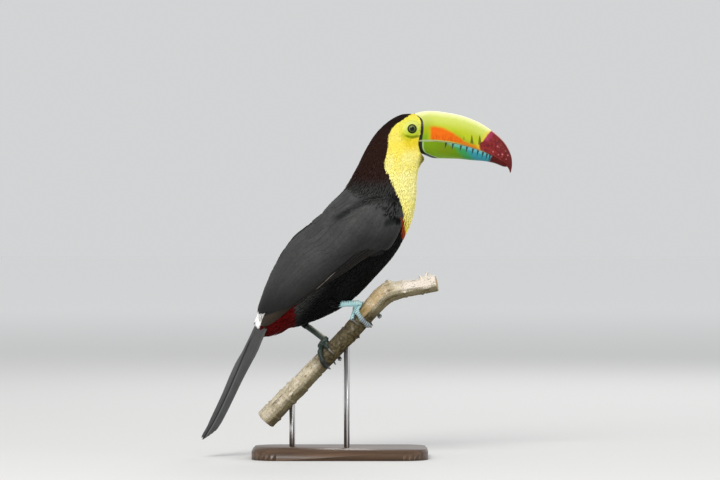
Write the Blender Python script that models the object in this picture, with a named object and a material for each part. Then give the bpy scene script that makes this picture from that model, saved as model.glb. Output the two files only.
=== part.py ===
"""Keel-billed toucan, life size, perched on a cut branch above a plain display stand.

Metres, +Z up. The bird faces +X and its right side is towards -Y. The origin is the middle of
the stand's underside. Every body section lies between a point on the bird's back line and one
on its belly line, so the two lines are the side outline and a half width gives the front one.
"""

import math

import bmesh
import bpy
from mathutils import Vector

MM = 0.001
SEAM = 0.35 * MM  # the gap left between neighbouring pieces

# Body sections from the tail root to the bill, in millimetres:
# back x, z; belly x, z; half width; how much the widest line is shifted towards the belly.
BODY = [
    (-101.4, 161.4, -93.6, 143.0, 12.5, 0.00),
    (-90.5, 187.0, -69.0, 147.6, 20.0, 0.00),
    (-79.0, 217.8, -48.5, 156.0, 29.0, 0.05),
    (-57.6, 257.4, -9.0, 171.8, 37.0, 0.08),
    (-32.4, 280.8, 19.2, 191.0, 40.5, 0.08),
    (-16.8, 301.6, 45.6, 218.6, 41.5, 0.04),
    (-3.8, 314.2, 65.4, 241.0, 40.5, 0.00),
    (7.6, 326.4, 79.6, 265.2, 37.5, 0.00),
    (14.4, 338.4, 88.4, 285.6, 33.5, 0.00),
    (20.4, 350.4, 93.0, 309.0, 29.0, 0.00),
    (26.4, 362.8, 93.6, 331.0, 25.5, 0.00),
    (34.0, 376.4, 95.6, 345.4, 23.5, 0.04),
    (44.4, 391.4, 98.6, 351.8, 22.3, 0.06),
    (58.8, 404.6, 101.0, 355.8, 21.6, 0.08),
    (74.4, 412.6, 102.2, 358.6, 20.2, 0.08),
    (88.8, 412.8, 100.8, 362.0, 18.2, 0.08),
]
NECK_START, HEAD_START, HEAD_END = 7.4, 11.0, 15.0
TRUNK_RINGS, NECK_RINGS, HEAD_RINGS = 15, 7, 9
RING_POINTS = 28

# How far the face's front edge curves out over the bill, and the share of its height that does.
FACE_CURVE, FACE_CURVE_SHARE = 6.5, 0.68

# The wings lie on the trunk: body section, upper and lower edge as shares of the way from the
# back line to the belly line, and thickness in millimetres.
WING = [
    (0.30, 0.340, 0.54, 1.6),
    (0.42, 0.140, 0.55, 3.0),
    (0.60, 0.000, 0.55, 4.8),
    (1.10, 0.000, 0.53, 6.4),
    (2.00, 0.000, 0.60, 6.4),
    (3.00, 0.000, 0.62, 5.4),
    (4.00, 0.010, 0.65, 5.6),
    (5.00, 0.090, 0.75, 6.0),
    (6.00, 0.180, 0.86, 6.2),
    (7.00, 0.290, 0.88, 5.4),
    (7.80, 0.440, 0.84, 4.0),
    (8.35, 0.560, 0.76, 1.8),
]
WING_RINGS, WING_POINTS = 20, 9
WING_CLEARANCE = 0.7 * MM
WING_EDGE = 0.9 * MM

# The bill's sections: ridge x, z; tomium (the cutting edge) x, z; half width at the tomium.
UPPER_BILL = [
    (82.0, 410.0, 88.0, 380.0, 16.6),
    (92.0, 413.6, 97.0, 379.8, 16.9),
    (106.0, 415.8, 109.0, 379.8, 16.2),
    (124.0, 414.4, 124.0, 378.9, 14.6),
    (148.4, 409.4, 144.0, 375.6, 12.6),
    (170.8, 399.8, 162.0, 370.6, 10.4),
    (188.0, 387.6, 177.0, 365.2, 8.4),
    (199.4, 375.2, 188.6, 359.2, 6.4),
    (205.2, 362.8, 197.6, 353.0, 4.4),
    (206.5, 351.8, 202.6, 346.4, 2.4),
    (205.2, 342.6, 204.0, 341.4, 0.7),
]
# The lower mandible: tomium x, z; keel x, z; half width.
LOWER_BILL = [
    (88.0, 379.4, 90.0, 367.0, 15.4),
    (97.0, 379.2, 98.6, 364.4, 15.7),
    (109.0, 379.2, 110.6, 359.6, 15.1),
    (124.0, 378.3, 124.0, 358.9, 13.6),
    (144.0, 375.0, 142.0, 358.4, 11.7),
    (162.0, 370.0, 158.0, 356.8, 9.6),
    (177.0, 364.6, 173.0, 355.6, 7.5),
    (188.6, 358.6, 185.0, 353.2, 5.4),
    (197.0, 352.6, 195.0, 349.4, 3.0),
    (200.4, 349.6, 199.8, 348.8, 0.9),
]
BILL_RINGS = 20
BILL_ARC_POINTS = 13

EYE_CENTRE = Vector((86.3, 13.9, 393.8)) * MM  # of the left one
EYE_RADIUS = 6.7 * MM

# The tail is a roof at its root and flat further on; its ridge bows towards its right edge.
TAIL_ROOT = Vector((-94.0, 0.0, 172.0)) * MM
TAIL_TIP = Vector((-166.6, 0.0, 22.4)) * MM
TAIL_ROLL = math.radians(27)  # turns its upper side towards -Y
# Share of the length; half width and thickness in millimetres; fall of its edges as a share of the
# half width; and how far its ridge lies off the straight line, in millimetres.
TAIL = [
    (0.00, 13.0, 4.0, 0.46, 0.0),
    (0.12, 14.5, 4.2, 0.40, 0.4),
    (0.25, 17.5, 3.8, 0.27, 1.4),
    (0.38, 18.8, 3.6, 0.10, 2.5),
    (0.50, 18.2, 3.4, 0.04, 3.4),
    (0.65, 17.4, 3.0, 0.03, 4.2),
    (0.80, 16.6, 2.6, 0.03, 4.2),
    (0.90, 14.0, 2.2, 0.03, 3.4),
    (0.96, 8.5, 1.7, 0.03, 2.0),
    (1.00, 2.5, 1.1, 0.03, 0.0),
]
TAIL_HALF_POINTS = 4
TAIL_RINGS = 14

# The perch's centre line and radius, in millimetres, from its lower cut to its upper one.
PERCH = [
    (-90.0, 20.0, 44.0, 12.4),
    (-65.4, 15.0, 69.4, 11.7),
    (-43.0, 11.0, 92.8, 11.3),
    (-14.6, 6.0, 122.0, 10.9),
    (7.0, 2.0, 144.8, 10.8),
    (30.0, -3.0, 170.0, 11.0),
    (44.6, -6.0, 187.4, 12.0),
    (57.0, -8.0, 197.8, 12.6),
    (72.0, -10.0, 201.4, 10.8),
    (90.0, -12.0, 204.0, 10.0),
    (116.0, -15.0, 209.4, 9.8),
]
PERCH_RINGS, PERCH_SIDES = 30, 16

# Each leg: where on the perch the foot stands, how far its pad turns towards -Y in degrees, the
# ankle, and the top of the thigh inside the belly.
LEGS = {
    "right": (5.12, 20, (-6.0, -29.0, 184.6), (6.0, -24.0, 208.0)),
    "left": (3.22, 0, (-43.0, 20.0, 159.6), (-27.0, 22.0, 190.0)),
}
FOOT_CLEARANCE = 0.45 * MM
PAD_HALF = Vector((5.0, 8.4, 3.7)) * MM  # round the perch, along it and away from it
SHANK_RADII = (4.2, 3.8, 3.6, 3.7, 4.0)  # from the ankle to the foot, in millimetres
THIGH_RADII = (13.5, 11.5, 8.4, 5.2)
# Toes: way round the perch, start and end along it in millimetres, degrees round it, radius.
TOES = {
    "right": [
        (1, -2.0, -8.0, 138, 3.0),
        (1, -5.0, -14.5, 52, 2.7),
        (-1, -3.8, -7.0, 110, 2.9),
        (-1, 3.8, 7.0, 132, 2.6),
    ],
    "left": [
        (1, -4.0, -16.0, 124, 3.0),
        (1, 2.5, 1.0, 64, 2.7),
        (-1, -4.5, -9.5, 104, 2.9),
        (-1, 3.8, -1.0, 130, 2.6),
    ],
}
TOE_SIDES, TOE_RINGS = 8, 8
CLAW_TURN, CLAW_RINGS, CLAW_SIDES = math.radians(44), 6, 6
CLAW_ARCH, CLAW_TIP = 2.4 * MM, 0.30 * MM

BASE_SIZE = Vector((210.0, 130.0, 12.0)) * MM
BASE_CORNER = 30.0 * MM
BASE_BEVEL = 2.0 * MM
ROD_RADIUS = 3.5 * MM
ROD_PLACES = {"stand_rod_low": 1.35, "stand_rod_high": 4.05}  # along the perch's sections


def spline(rows, place):
    """The row at a place along a table, read from a smooth curve through its rows."""
    place = min(max(place, 0.0), len(rows) - 1.0)
    index = min(int(place), len(rows) - 2)
    share = place - index
    before, start, end, after = (
        rows[min(max(index + step, 0), len(rows) - 1)] for step in (-1, 0, 1, 2)
    )
    return [
        b
        + 0.5
        * share
        * (c - a + share * (2 * a - 5 * b + 4 * c - d + share * (3 * (b - c) + d - a)))
        for a, b, c, d in zip(before, start, end, after)
    ]


def steps(start, end, count):
    return [start + (end - start) * i / (count - 1) for i in range(count)]


def side_point(x, z):
    return Vector((x, 0.0, z)) * MM


def material(name, colour, roughness, metallic=0.0):
    """The Principled material of this name, made once."""
    if name in bpy.data.materials:
        return bpy.data.materials[name]
    made = bpy.data.materials.new(name)
    made.use_nodes = True
    shader = made.node_tree.nodes["Principled BSDF"]
    shader.inputs["Base Color"].default_value = (*colour, 1.0)
    shader.inputs["Roughness"].default_value = roughness
    shader.inputs["Metallic"].default_value = metallic
    return made


def black_plumage():
    return material("black_plumage", (0.012, 0.012, 0.014), 0.6)


def yellow_plumage():
    return material("yellow_plumage", (0.85, 0.68, 0.12), 0.7)


def green_bill():
    return material("green_bill", (0.48, 0.68, 0.08), 0.3)


def blue_skin():
    return material("blue_skin", (0.22, 0.42, 0.50), 0.55)


def dark_claw():
    return material("dark_claw", (0.05, 0.055, 0.06), 0.4)


def dark_eye():
    return material("dark_eye", (0.02, 0.025, 0.01), 0.08)


def bark():
    return material("bark", (0.36, 0.28, 0.18), 0.85)


def stand_wood():
    return material("stand_wood", (0.10, 0.055, 0.03), 0.45)


def stand_steel():
    return material("stand_steel", (0.55, 0.55, 0.56), 0.3, 1.0)


def place_mesh(name, mesh_data, look):
    """Turns a bmesh into a smooth-shaded object with its faces pointing out."""
    bmesh.ops.recalc_face_normals(mesh_data, faces=mesh_data.faces)
    mesh = bpy.data.meshes.new(name)
    mesh_data.to_mesh(mesh)
    mesh_data.free()
    mesh.shade_smooth()
    mesh.set_sharp_from_angle(angle=math.radians(40))
    mesh.materials.append(look)
    made = bpy.data.objects.new(name, mesh)
    bpy.context.scene.collection.objects.link(made)
    return made


def loft(name, rings, look, mirrored_caps=False):
    """A closed skin over rings of equal length. Mirrored caps run straight across from side to
    side, which keeps a bent end ring's cap even; the rings are then mirror images in Y."""
    made = bmesh.new()
    rows = [[made.verts.new(point) for point in ring] for ring in rings]
    count = len(rows[0])
    for first, second in zip(rows, rows[1:]):
        for i in range(count):
            made.faces.new((first[i - 1], first[i], second[i], second[i - 1]))
    for row in (rows[0], rows[-1]):
        if not mirrored_caps:
            made.faces.new(row)
            continue
        half = count // 2
        made.faces.new((row[0], row[1], row[-1]))
        for i in range(1, half - 1):
            made.faces.new((row[i], row[i + 1], row[-i - 1], row[-i]))
        made.faces.new((row[half - 1], row[half], row[half + 1]))
    return place_mesh(name, made, look)


def tube_rings(points, radii, sides, side_axis):
    """Rings square to a path. side_axis is roughly square to the path all along it."""
    rings = []
    for i, (point, radius) in enumerate(zip(points, radii)):
        along = points[min(i + 1, len(points) - 1)] - points[max(i - 1, 0)]
        across = along.cross(side_axis).normalized()
        up = across.cross(along).normalized()
        rings.append(
            [
                point
                + radius * (math.cos(turn) * across + math.sin(turn) * up)
                for turn in (2 * math.pi * k / sides for k in range(sides))
            ]
        )
    return rings


def add_boolean(target, operation, other):
    change = target.modifiers.new(operation.lower(), "BOOLEAN")
    change.operation = operation
    change.solver = "EXACT"
    change.object = other


def grown_cutter(source, growth):
    """A hidden copy of a piece, a little larger all over, that cuts its neighbours."""
    name = "cutter_" + source.name
    if name in bpy.data.objects:
        return bpy.data.objects[name]
    mesh = source.data.copy()
    grown = bmesh.new()
    grown.from_mesh(mesh)
    grown.normal_update()
    places = [vertex.co + vertex.normal * growth for vertex in grown.verts]
    for vertex, place in zip(grown.verts, places):
        vertex.co = place
    grown.to_mesh(mesh)
    grown.free()
    cutter = bpy.data.objects.new(name, mesh)
    bpy.context.scene.collection.objects.link(cutter)
    cutter.hide_render = True
    cutter.display_type = "WIRE"
    return cutter


def cut_by(target, source, growth=1.6 * SEAM):
    add_boolean(target, "DIFFERENCE", grown_cutter(source, growth))


def body_point(section, angle, outward=0.0):
    """A point of the body's surface: angle 0 is the back line and pi the belly line, with the
    left side at positive angles. outward lifts it off the surface."""
    back_x, back_z, belly_x, belly_z, half_width, shift = spline(BODY, section)
    middle = side_point((back_x + belly_x) / 2, (back_z + belly_z) / 2)
    up = side_point(back_x, back_z) - middle
    lean = 1.0 - shift * 2 * math.cos(angle)
    point = middle + up * math.cos(angle)
    point.y = half_width * MM * math.sin(angle) * lean
    if outward:
        point += outward * body_normal(section, angle)
    return point


def body_normal(section, angle):
    small = 0.02
    low, high = max(section - small, 0.0), min(section + small, HEAD_END)
    along = body_point(high, angle) - body_point(low, angle)
    around = body_point(section, angle + small) - body_point(section, angle - small)
    return along.cross(around).normalized()


def body_ring(section):
    return [body_point(section, 2 * math.pi * k / RING_POINTS) for k in range(RING_POINTS)]


def section_axis(section):
    """The unit normal of a body section's plane, pointing towards the head."""
    back_x, back_z, belly_x, belly_z, *_ = spline(BODY, section)
    down = (side_point(belly_x, belly_z) - side_point(back_x, back_z)).normalized()
    return down.cross(Vector((0, 1, 0)))


def moved(ring, offset):
    return [point + offset for point in ring]


def body_piece(name, start, end, count, look, seam_before, seam_after):
    rings = [body_ring(place) for place in steps(start, end, count)]
    if seam_before:
        rings[0] = moved(rings[0], section_axis(start) * SEAM / 2)
    if seam_after:
        rings[-1] = moved(rings[-1], section_axis(end) * -SEAM / 2)
    return rings, look, name


def make_trunk():
    rings, look, name = body_piece(
        "trunk", 0.0, NECK_START, TRUNK_RINGS, black_plumage(), False, True
    )
    return loft(name, rings, look, mirrored_caps=True)


def make_neck():
    rings, look, name = body_piece(
        "neck", NECK_START, HEAD_START, NECK_RINGS, yellow_plumage(), True, True
    )
    return loft(name, rings, look, mirrored_caps=True)


def make_head():
    """The head's last ring is the face's front edge, which curves out over the bill's base."""
    rings, look, name = body_piece(
        "head", HEAD_START, HEAD_END, HEAD_RINGS, yellow_plumage(), True, False
    )
    top = max(point.z for point in rings[-1])
    height = top - min(point.z for point in rings[-1])
    for point in rings[-1]:
        share = (top - point.z) / height / FACE_CURVE_SHARE
        if share < 1:
            point.x += FACE_CURVE * MM * math.sin(math.pi * share)
    return loft(name, rings, look, mirrored_caps=True)


def wing_edge_angle(share):
    """The body angle at a share of the way from the back line to the belly line."""
    return math.acos(1 - 2 * min(max(share, 0.0), 1.0))


def make_wing(name, side):
    """A folded wing: a curved plate that hugs the trunk, thick in its middle, thin at its lower
    edge. Along the back the two wings meet edge to edge."""
    rings = []
    for row in steps(0.0, len(WING) - 1.0, WING_RINGS):
        section, upper, lower, thickness = spline(WING, row)
        start = max(wing_edge_angle(upper), SEAM / (MM * spline(BODY, section)[4]))
        end = wing_edge_angle(lower)
        outer, inner = [], []
        for share in steps(0.0, 1.0, WING_POINTS):
            angle = side * (start + (end - start) * share)
            swell = math.sqrt(max(1 - abs(2 * share - 0.85) ** 3.5 / 1.67, 0.0))
            edge = WING_CLEARANCE + WING_EDGE
            outer.append(body_point(section, angle, edge + thickness * MM * swell * 0.86))
            inner.append(body_point(section, angle, WING_CLEARANCE))
        rings.append(outer + inner[::-1])
    return loft(name, rings, black_plumage())


def bill_ring(row, down):
    """Half an oval over the tomium line, closed straight across; down turns it upside down."""
    ridge_x, ridge_z, edge_x, edge_z, half_width = row
    if down:
        edge_x, edge_z, ridge_x, ridge_z = ridge_x, ridge_z, edge_x, edge_z
    edge, ridge = side_point(edge_x, edge_z), side_point(ridge_x, ridge_z)
    ring = []
    for turn in steps(0.0, math.pi, BILL_ARC_POINTS):
        point = edge.lerp(ridge, math.sin(turn) ** 0.9)
        flat = math.copysign(abs(math.cos(turn)) ** 0.86, math.cos(turn))
        point.y = half_width * MM * flat
        ring.append(point)
    return ring


def make_bill(head):
    mandibles = []
    for name, table, down in (("bill_upper", UPPER_BILL, False), ("bill_lower", LOWER_BILL, True)):
        rows = [spline(table, place) for place in steps(0.0, len(table) - 1.0, BILL_RINGS)]
        rings = [bill_ring(row, down) for row in rows]
        mandible = loft(name, rings, green_bill())
        cut_by(mandible, head, SEAM)
        mandibles.append(mandible)
    return mandibles


def make_eyes(head):
    for name, side in (("eye_right", -1), ("eye_left", 1)):
        centre = Vector((EYE_CENTRE.x, side * EYE_CENTRE.y, EYE_CENTRE.z))
        ball = bmesh.new()
        bmesh.ops.create_uvsphere(ball, u_segments=16, v_segments=10, radius=EYE_RADIUS)
        bmesh.ops.translate(ball, verts=ball.verts, vec=centre)
        cut_by(head, place_mesh(name, ball, dark_eye()), SEAM)


def make_tail(neighbours):
    along = (TAIL_TIP - TAIL_ROOT).normalized()
    upright = along.cross(Vector((0, -1, 0))).normalized()
    upper = upright * math.cos(TAIL_ROLL) + Vector((0, -1, 0)) * math.sin(TAIL_ROLL)
    right = upper.cross(along).normalized()
    rings = []
    for share in steps(0.0, 1.0, TAIL_RINGS):
        row = share * (len(TAIL) - 1)
        place, half_width, thickness, arch, bow = spline(TAIL, row)
        ridge = TAIL_ROOT.lerp(TAIL_TIP, place) - upright * bow * MM
        top, underside = [], []
        for k in range(-TAIL_HALF_POINTS, TAIL_HALF_POINTS + 1):
            out = half_width * k / TAIL_HALF_POINTS
            drop = arch * out * out / max(half_width, 1.0)
            edge_share = 1 - 0.6 * abs(k / TAIL_HALF_POINTS) ** 3
            top.append(ridge + (right * out - upper * drop) * MM)
            underside.append(top[-1] - upper * thickness * edge_share * MM)
        rings.append(top + underside[::-1])
    tail = loft("tail", rings, black_plumage())
    for neighbour in neighbours:
        cut_by(tail, neighbour)


def perch_place(place):
    x, y, z, radius = spline(PERCH, place)
    return Vector((x, y, z)) * MM, radius * MM


def perch_frame(place):
    """Centre, radius, and unit vectors along the perch, up from it and to its -Y side."""
    centre, radius = perch_place(place)
    along = (perch_place(place + 0.05)[0] - perch_place(place - 0.05)[0]).normalized()
    out = along.cross(Vector((0, 1, 0))).normalized()
    near = out.cross(along).normalized()
    if near.y > 0:
        near = -near
    return centre, radius, along, out, near


def make_perch():
    places = steps(0.0, len(PERCH) - 1.0, PERCH_RINGS)
    points, radii = zip(*(perch_place(place) for place in places))
    rings = tube_rings(points, radii, PERCH_SIDES, Vector((0, 1, 0)))
    return loft("perch", rings, bark())


def make_foot_pad(frame, tilt):
    """The pad that the toes grow from, lying against the perch."""
    centre, radius, along, out, near = frame
    away = out * math.cos(tilt) + near * math.sin(tilt)
    aside = near * math.cos(tilt) - out * math.sin(tilt)
    pad = bmesh.new()
    bmesh.ops.create_uvsphere(pad, u_segments=12, v_segments=8, radius=1.0)
    middle = centre + away * (radius + FOOT_CLEARANCE + PAD_HALF.z)
    for vertex in pad.verts:
        x, y, z = (vertex.co[i] * PAD_HALF[i] for i in range(3))
        vertex.co = middle + aside * x + along * y + away * z
    return pad, middle + along * 4.2 * MM + away * 1.4 * MM


def round_perch(place, turn, drift, lift, way):
    """A point beside the perch: turn is the angle round it from its upper side."""
    centre, radius, along, out, near = perch_frame(place)
    spoke = out * math.cos(turn) + near * way * math.sin(turn)
    return centre + along * drift * MM + spoke * (radius + FOOT_CLEARANCE + lift)


def make_toe(side_name, index, place, shank):
    way, start, end, wrap, radius = TOES[side_name][index - 1]
    _, _, along, _, _ = perch_frame(place)
    turns = steps(math.radians(14), math.radians(wrap), TOE_RINGS)
    points, radii = [], []
    for i, turn in enumerate(turns):
        share = i / (TOE_RINGS - 1)
        thick = radius * MM * (1 - 0.22 * share) * (1 + 0.05 * math.cos(3 * 2 * math.pi * share))
        drift = start + (end - start) * math.sin(share * math.pi / 2)
        points.append(round_perch(place, turn, drift, thick, way))
        radii.append(thick)
    toe = loft(
        f"toe_{side_name}_{index}", tube_rings(points, radii, TOE_SIDES, along), blue_skin()
    )
    cut_by(toe, shank)
    claw_start, claw_radius = turns[-1], radii[-1] * 0.78
    points, radii = [], []
    for i in range(CLAW_RINGS):
        share = i / (CLAW_RINGS - 1)
        turn = claw_start + CLAW_TURN * share
        thick = claw_radius + (CLAW_TIP - claw_radius) * share**0.8
        lift = thick + CLAW_ARCH * math.sin(math.pi * share)
        points.append(round_perch(place, turn, end, lift, way))
        radii.append(thick)
    ahead = (points[1] - points[0]).normalized()
    points = [point + ahead * SEAM * 1.5 for point in points]
    rings = tube_rings(points, radii, CLAW_SIDES, along)
    loft(f"claw_{side_name}_{index}", rings, dark_claw())


def make_leg(name, trunk):
    place, tilt, ankle, thigh_top = LEGS[name]
    ankle, thigh_top = Vector(ankle) * MM, Vector(thigh_top) * MM
    pad, heel = make_foot_pad(perch_frame(place), math.radians(tilt))
    pad_object = place_mesh("cutter_pad_" + name, pad, blue_skin())
    pad_object.hide_render = True
    pad_object.display_type = "WIRE"
    points = [ankle.lerp(heel, share) for share in steps(0, 1, len(SHANK_RADII))]
    radii = [radius * MM for radius in SHANK_RADII]
    shank = loft(
        "shank_" + name, tube_rings(points, radii, 10, Vector((0, 1, 0.2))), blue_skin()
    )
    add_boolean(shank, "UNION", pad_object)
    bpy.context.view_layer.update()
    solid = bpy.data.meshes.new_from_object(
        shank.evaluated_get(bpy.context.evaluated_depsgraph_get())
    )
    shank.modifiers.clear()
    shank.data = solid
    cut_by(shank, trunk)
    for index in range(1, len(TOES[name]) + 1):
        make_toe(name, index, place, shank)
    thigh_end = ankle + (thigh_top - ankle).normalized() * 0.5 * MM
    points = [thigh_top.lerp(thigh_end, share) for share in steps(0, 1, len(THIGH_RADII))]
    radii = [radius * MM for radius in THIGH_RADII]
    thigh = loft("thigh_" + name, tube_rings(points, radii, 14, Vector((0, 1, 0))), black_plumage())
    cut_by(thigh, trunk)
    cut_by(thigh, shank)


def make_stand(perch):
    """A flat base with round corners and two upright rods that end against the perch."""
    base = bmesh.new()
    corner_x = BASE_SIZE.x / 2 - BASE_CORNER
    corner_y = BASE_SIZE.y / 2 - BASE_CORNER
    outline = []
    for quarter, (sx, sy) in enumerate(((1, 1), (-1, 1), (-1, -1), (1, -1))):
        for turn in steps(quarter * math.pi / 2, (quarter + 1) * math.pi / 2, 8):
            spoke = Vector((math.cos(turn), math.sin(turn), 0)) * BASE_CORNER
            outline.append(Vector((sx * corner_x, sy * corner_y, 0)) + spoke)
    floor = base.faces.new([base.verts.new(point) for point in outline])
    raised = bmesh.ops.extrude_face_region(base, geom=[floor])["geom"]
    top = [item for item in raised if isinstance(item, bmesh.types.BMVert)]
    bmesh.ops.translate(base, verts=top, vec=(0, 0, BASE_SIZE.z))
    rim = [edge for edge in base.edges if all(vertex in top for vertex in edge.verts)]
    bmesh.ops.bevel(base, geom=rim, offset=BASE_BEVEL, segments=2, affect="EDGES")
    place_mesh("stand_base", base, stand_wood())
    for name, place in ROD_PLACES.items():
        centre, _ = perch_place(place)
        foot = Vector((centre.x, centre.y, BASE_SIZE.z + SEAM))
        rings = [
            [
                Vector((ROD_RADIUS * math.cos(turn), ROD_RADIUS * math.sin(turn), 0)) + end
                for turn in (2 * math.pi * k / 16 for k in range(16))
            ]
            for end in (foot, centre)
        ]
        rod = loft(name, rings, stand_steel())
        cut_by(rod, perch, SEAM)


def main():
    for old in list(bpy.data.objects):
        bpy.data.objects.remove(old)
    trunk = make_trunk()
    make_neck()
    head = make_head()
    wings = [make_wing("wing_right", -1), make_wing("wing_left", 1)]
    make_bill(head)
    make_eyes(head)
    make_tail([trunk, *wings])
    perch = make_perch()
    for name in LEGS:
        make_leg(name, trunk)
    make_stand(perch)


main()
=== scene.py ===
"""Keel-billed toucan, a life-size museum model: the looks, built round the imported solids.

Metres, +Z up, the bird faces +X and its right side is towards -Y. Tables are in millimetres.
"""

import math

import bpy
import numpy as np
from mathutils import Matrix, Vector, noise
from mathutils.bvhtree import BVHTree


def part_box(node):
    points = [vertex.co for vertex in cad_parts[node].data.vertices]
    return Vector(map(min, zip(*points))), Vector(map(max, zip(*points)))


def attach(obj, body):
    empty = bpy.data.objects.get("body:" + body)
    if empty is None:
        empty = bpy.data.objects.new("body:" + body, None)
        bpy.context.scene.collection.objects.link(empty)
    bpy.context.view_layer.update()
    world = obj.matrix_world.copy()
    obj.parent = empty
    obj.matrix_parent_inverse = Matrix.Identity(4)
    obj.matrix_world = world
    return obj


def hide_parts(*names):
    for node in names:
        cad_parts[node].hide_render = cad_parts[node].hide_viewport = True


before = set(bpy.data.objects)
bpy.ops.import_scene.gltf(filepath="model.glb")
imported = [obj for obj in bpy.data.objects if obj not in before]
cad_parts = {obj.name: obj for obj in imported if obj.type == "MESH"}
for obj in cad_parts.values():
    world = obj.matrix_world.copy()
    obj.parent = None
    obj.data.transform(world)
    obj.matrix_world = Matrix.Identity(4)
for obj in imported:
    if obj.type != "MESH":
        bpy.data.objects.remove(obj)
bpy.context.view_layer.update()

MM = 0.001
SEED = 7

# The body's sections from the tail root to the bill: back line x, z; belly line x, z; half width.
BODY = [
    (-101.4, 161.4, -93.6, 143.0, 12.5),
    (-90.5, 187.0, -69.0, 147.6, 20.0),
    (-79.0, 217.8, -48.5, 156.0, 29.0),
    (-57.6, 257.4, -9.0, 171.8, 37.0),
    (-32.4, 280.8, 19.2, 191.0, 40.5),
    (-16.8, 301.6, 45.6, 218.6, 41.5),
    (-3.8, 314.2, 65.4, 241.0, 40.5),
    (7.6, 326.4, 79.6, 265.2, 37.5),
    (14.4, 338.4, 88.4, 285.6, 33.5),
    (20.4, 350.4, 93.0, 309.0, 29.0),
    (26.4, 362.8, 93.6, 331.0, 25.5),
    (34.0, 376.4, 95.6, 345.4, 23.5),
    (44.4, 391.4, 98.6, 351.8, 22.3),
    (58.8, 404.6, 101.0, 355.8, 21.6),
    (74.4, 412.6, 102.2, 358.6, 20.2),
    (88.8, 412.8, 100.8, 362.0, 18.2),
]
LAST_SECTION = len(BODY) - 1.0

# The upper mandible from inside the face to the tip: ridge x, z; tomium (cutting edge) x, z;
# half width at the tomium. The lower mandible: tomium x, z; keel x, z; half width.
UPPER_BILL = [
    (82.0, 410.0, 88.0, 380.0, 16.6),
    (92.0, 413.6, 97.0, 379.8, 16.9),
    (106.0, 415.8, 109.0, 379.8, 16.2),
    (124.0, 414.4, 124.0, 378.9, 14.6),
    (148.4, 409.4, 144.0, 375.6, 12.6),
    (170.8, 399.8, 162.0, 370.6, 10.4),
    (188.0, 387.6, 177.0, 365.2, 8.4),
    (199.4, 375.2, 188.6, 359.2, 6.4),
    (205.2, 362.8, 197.6, 353.0, 4.4),
    (206.5, 351.8, 202.6, 346.4, 2.4),
    (205.2, 342.6, 204.0, 341.4, 0.7),
]
LOWER_BILL = [
    (88.0, 379.4, 90.0, 367.0, 15.4),
    (97.0, 379.2, 98.6, 364.4, 15.7),
    (109.0, 379.2, 110.6, 359.6, 15.1),
    (124.0, 378.3, 124.0, 358.9, 13.6),
    (144.0, 375.0, 142.0, 358.4, 11.7),
    (162.0, 370.0, 158.0, 356.8, 9.6),
    (177.0, 364.6, 173.0, 355.6, 7.5),
    (188.6, 358.6, 185.0, 353.2, 5.4),
    (197.0, 352.6, 195.0, 349.4, 3.0),
    (200.4, 349.6, 199.8, 348.8, 0.9),
]
BILL_ROWS, BILL_COLUMNS = 150, 72

EYE = {side: sum(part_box("eye_" + side), Vector()) / 2 for side in ("right", "left")}
EYE_RADIUS = (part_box("eye_right")[1].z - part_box("eye_right")[0].z) / 2
SIDES = {"right": -1.0, "left": 1.0}

FLESH = ("head", "neck", "trunk", "wing_right", "wing_left", "thigh_right", "thigh_left")


# --- materials


class Wire:
    """A socket that arithmetic can be written with; each operation adds its Math node."""

    def __init__(self, paint, socket):
        self.paint, self.socket = paint, socket

    def math(self, operation, *others):
        return self.paint.wire("Math", {"operation": operation}, enumerate((self, *others)))

    def __add__(self, other):
        return self.math("ADD", other)

    def __sub__(self, other):
        return self.math("SUBTRACT", other)

    def __mul__(self, other):
        return self.math("MULTIPLY", other)

    def __truediv__(self, other):
        return self.math("DIVIDE", other)

    def __rsub__(self, other):
        return (self * -1) + other

    def __abs__(self):
        return self.math("ABSOLUTE")

    __radd__, __rmul__ = __add__, __mul__


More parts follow.
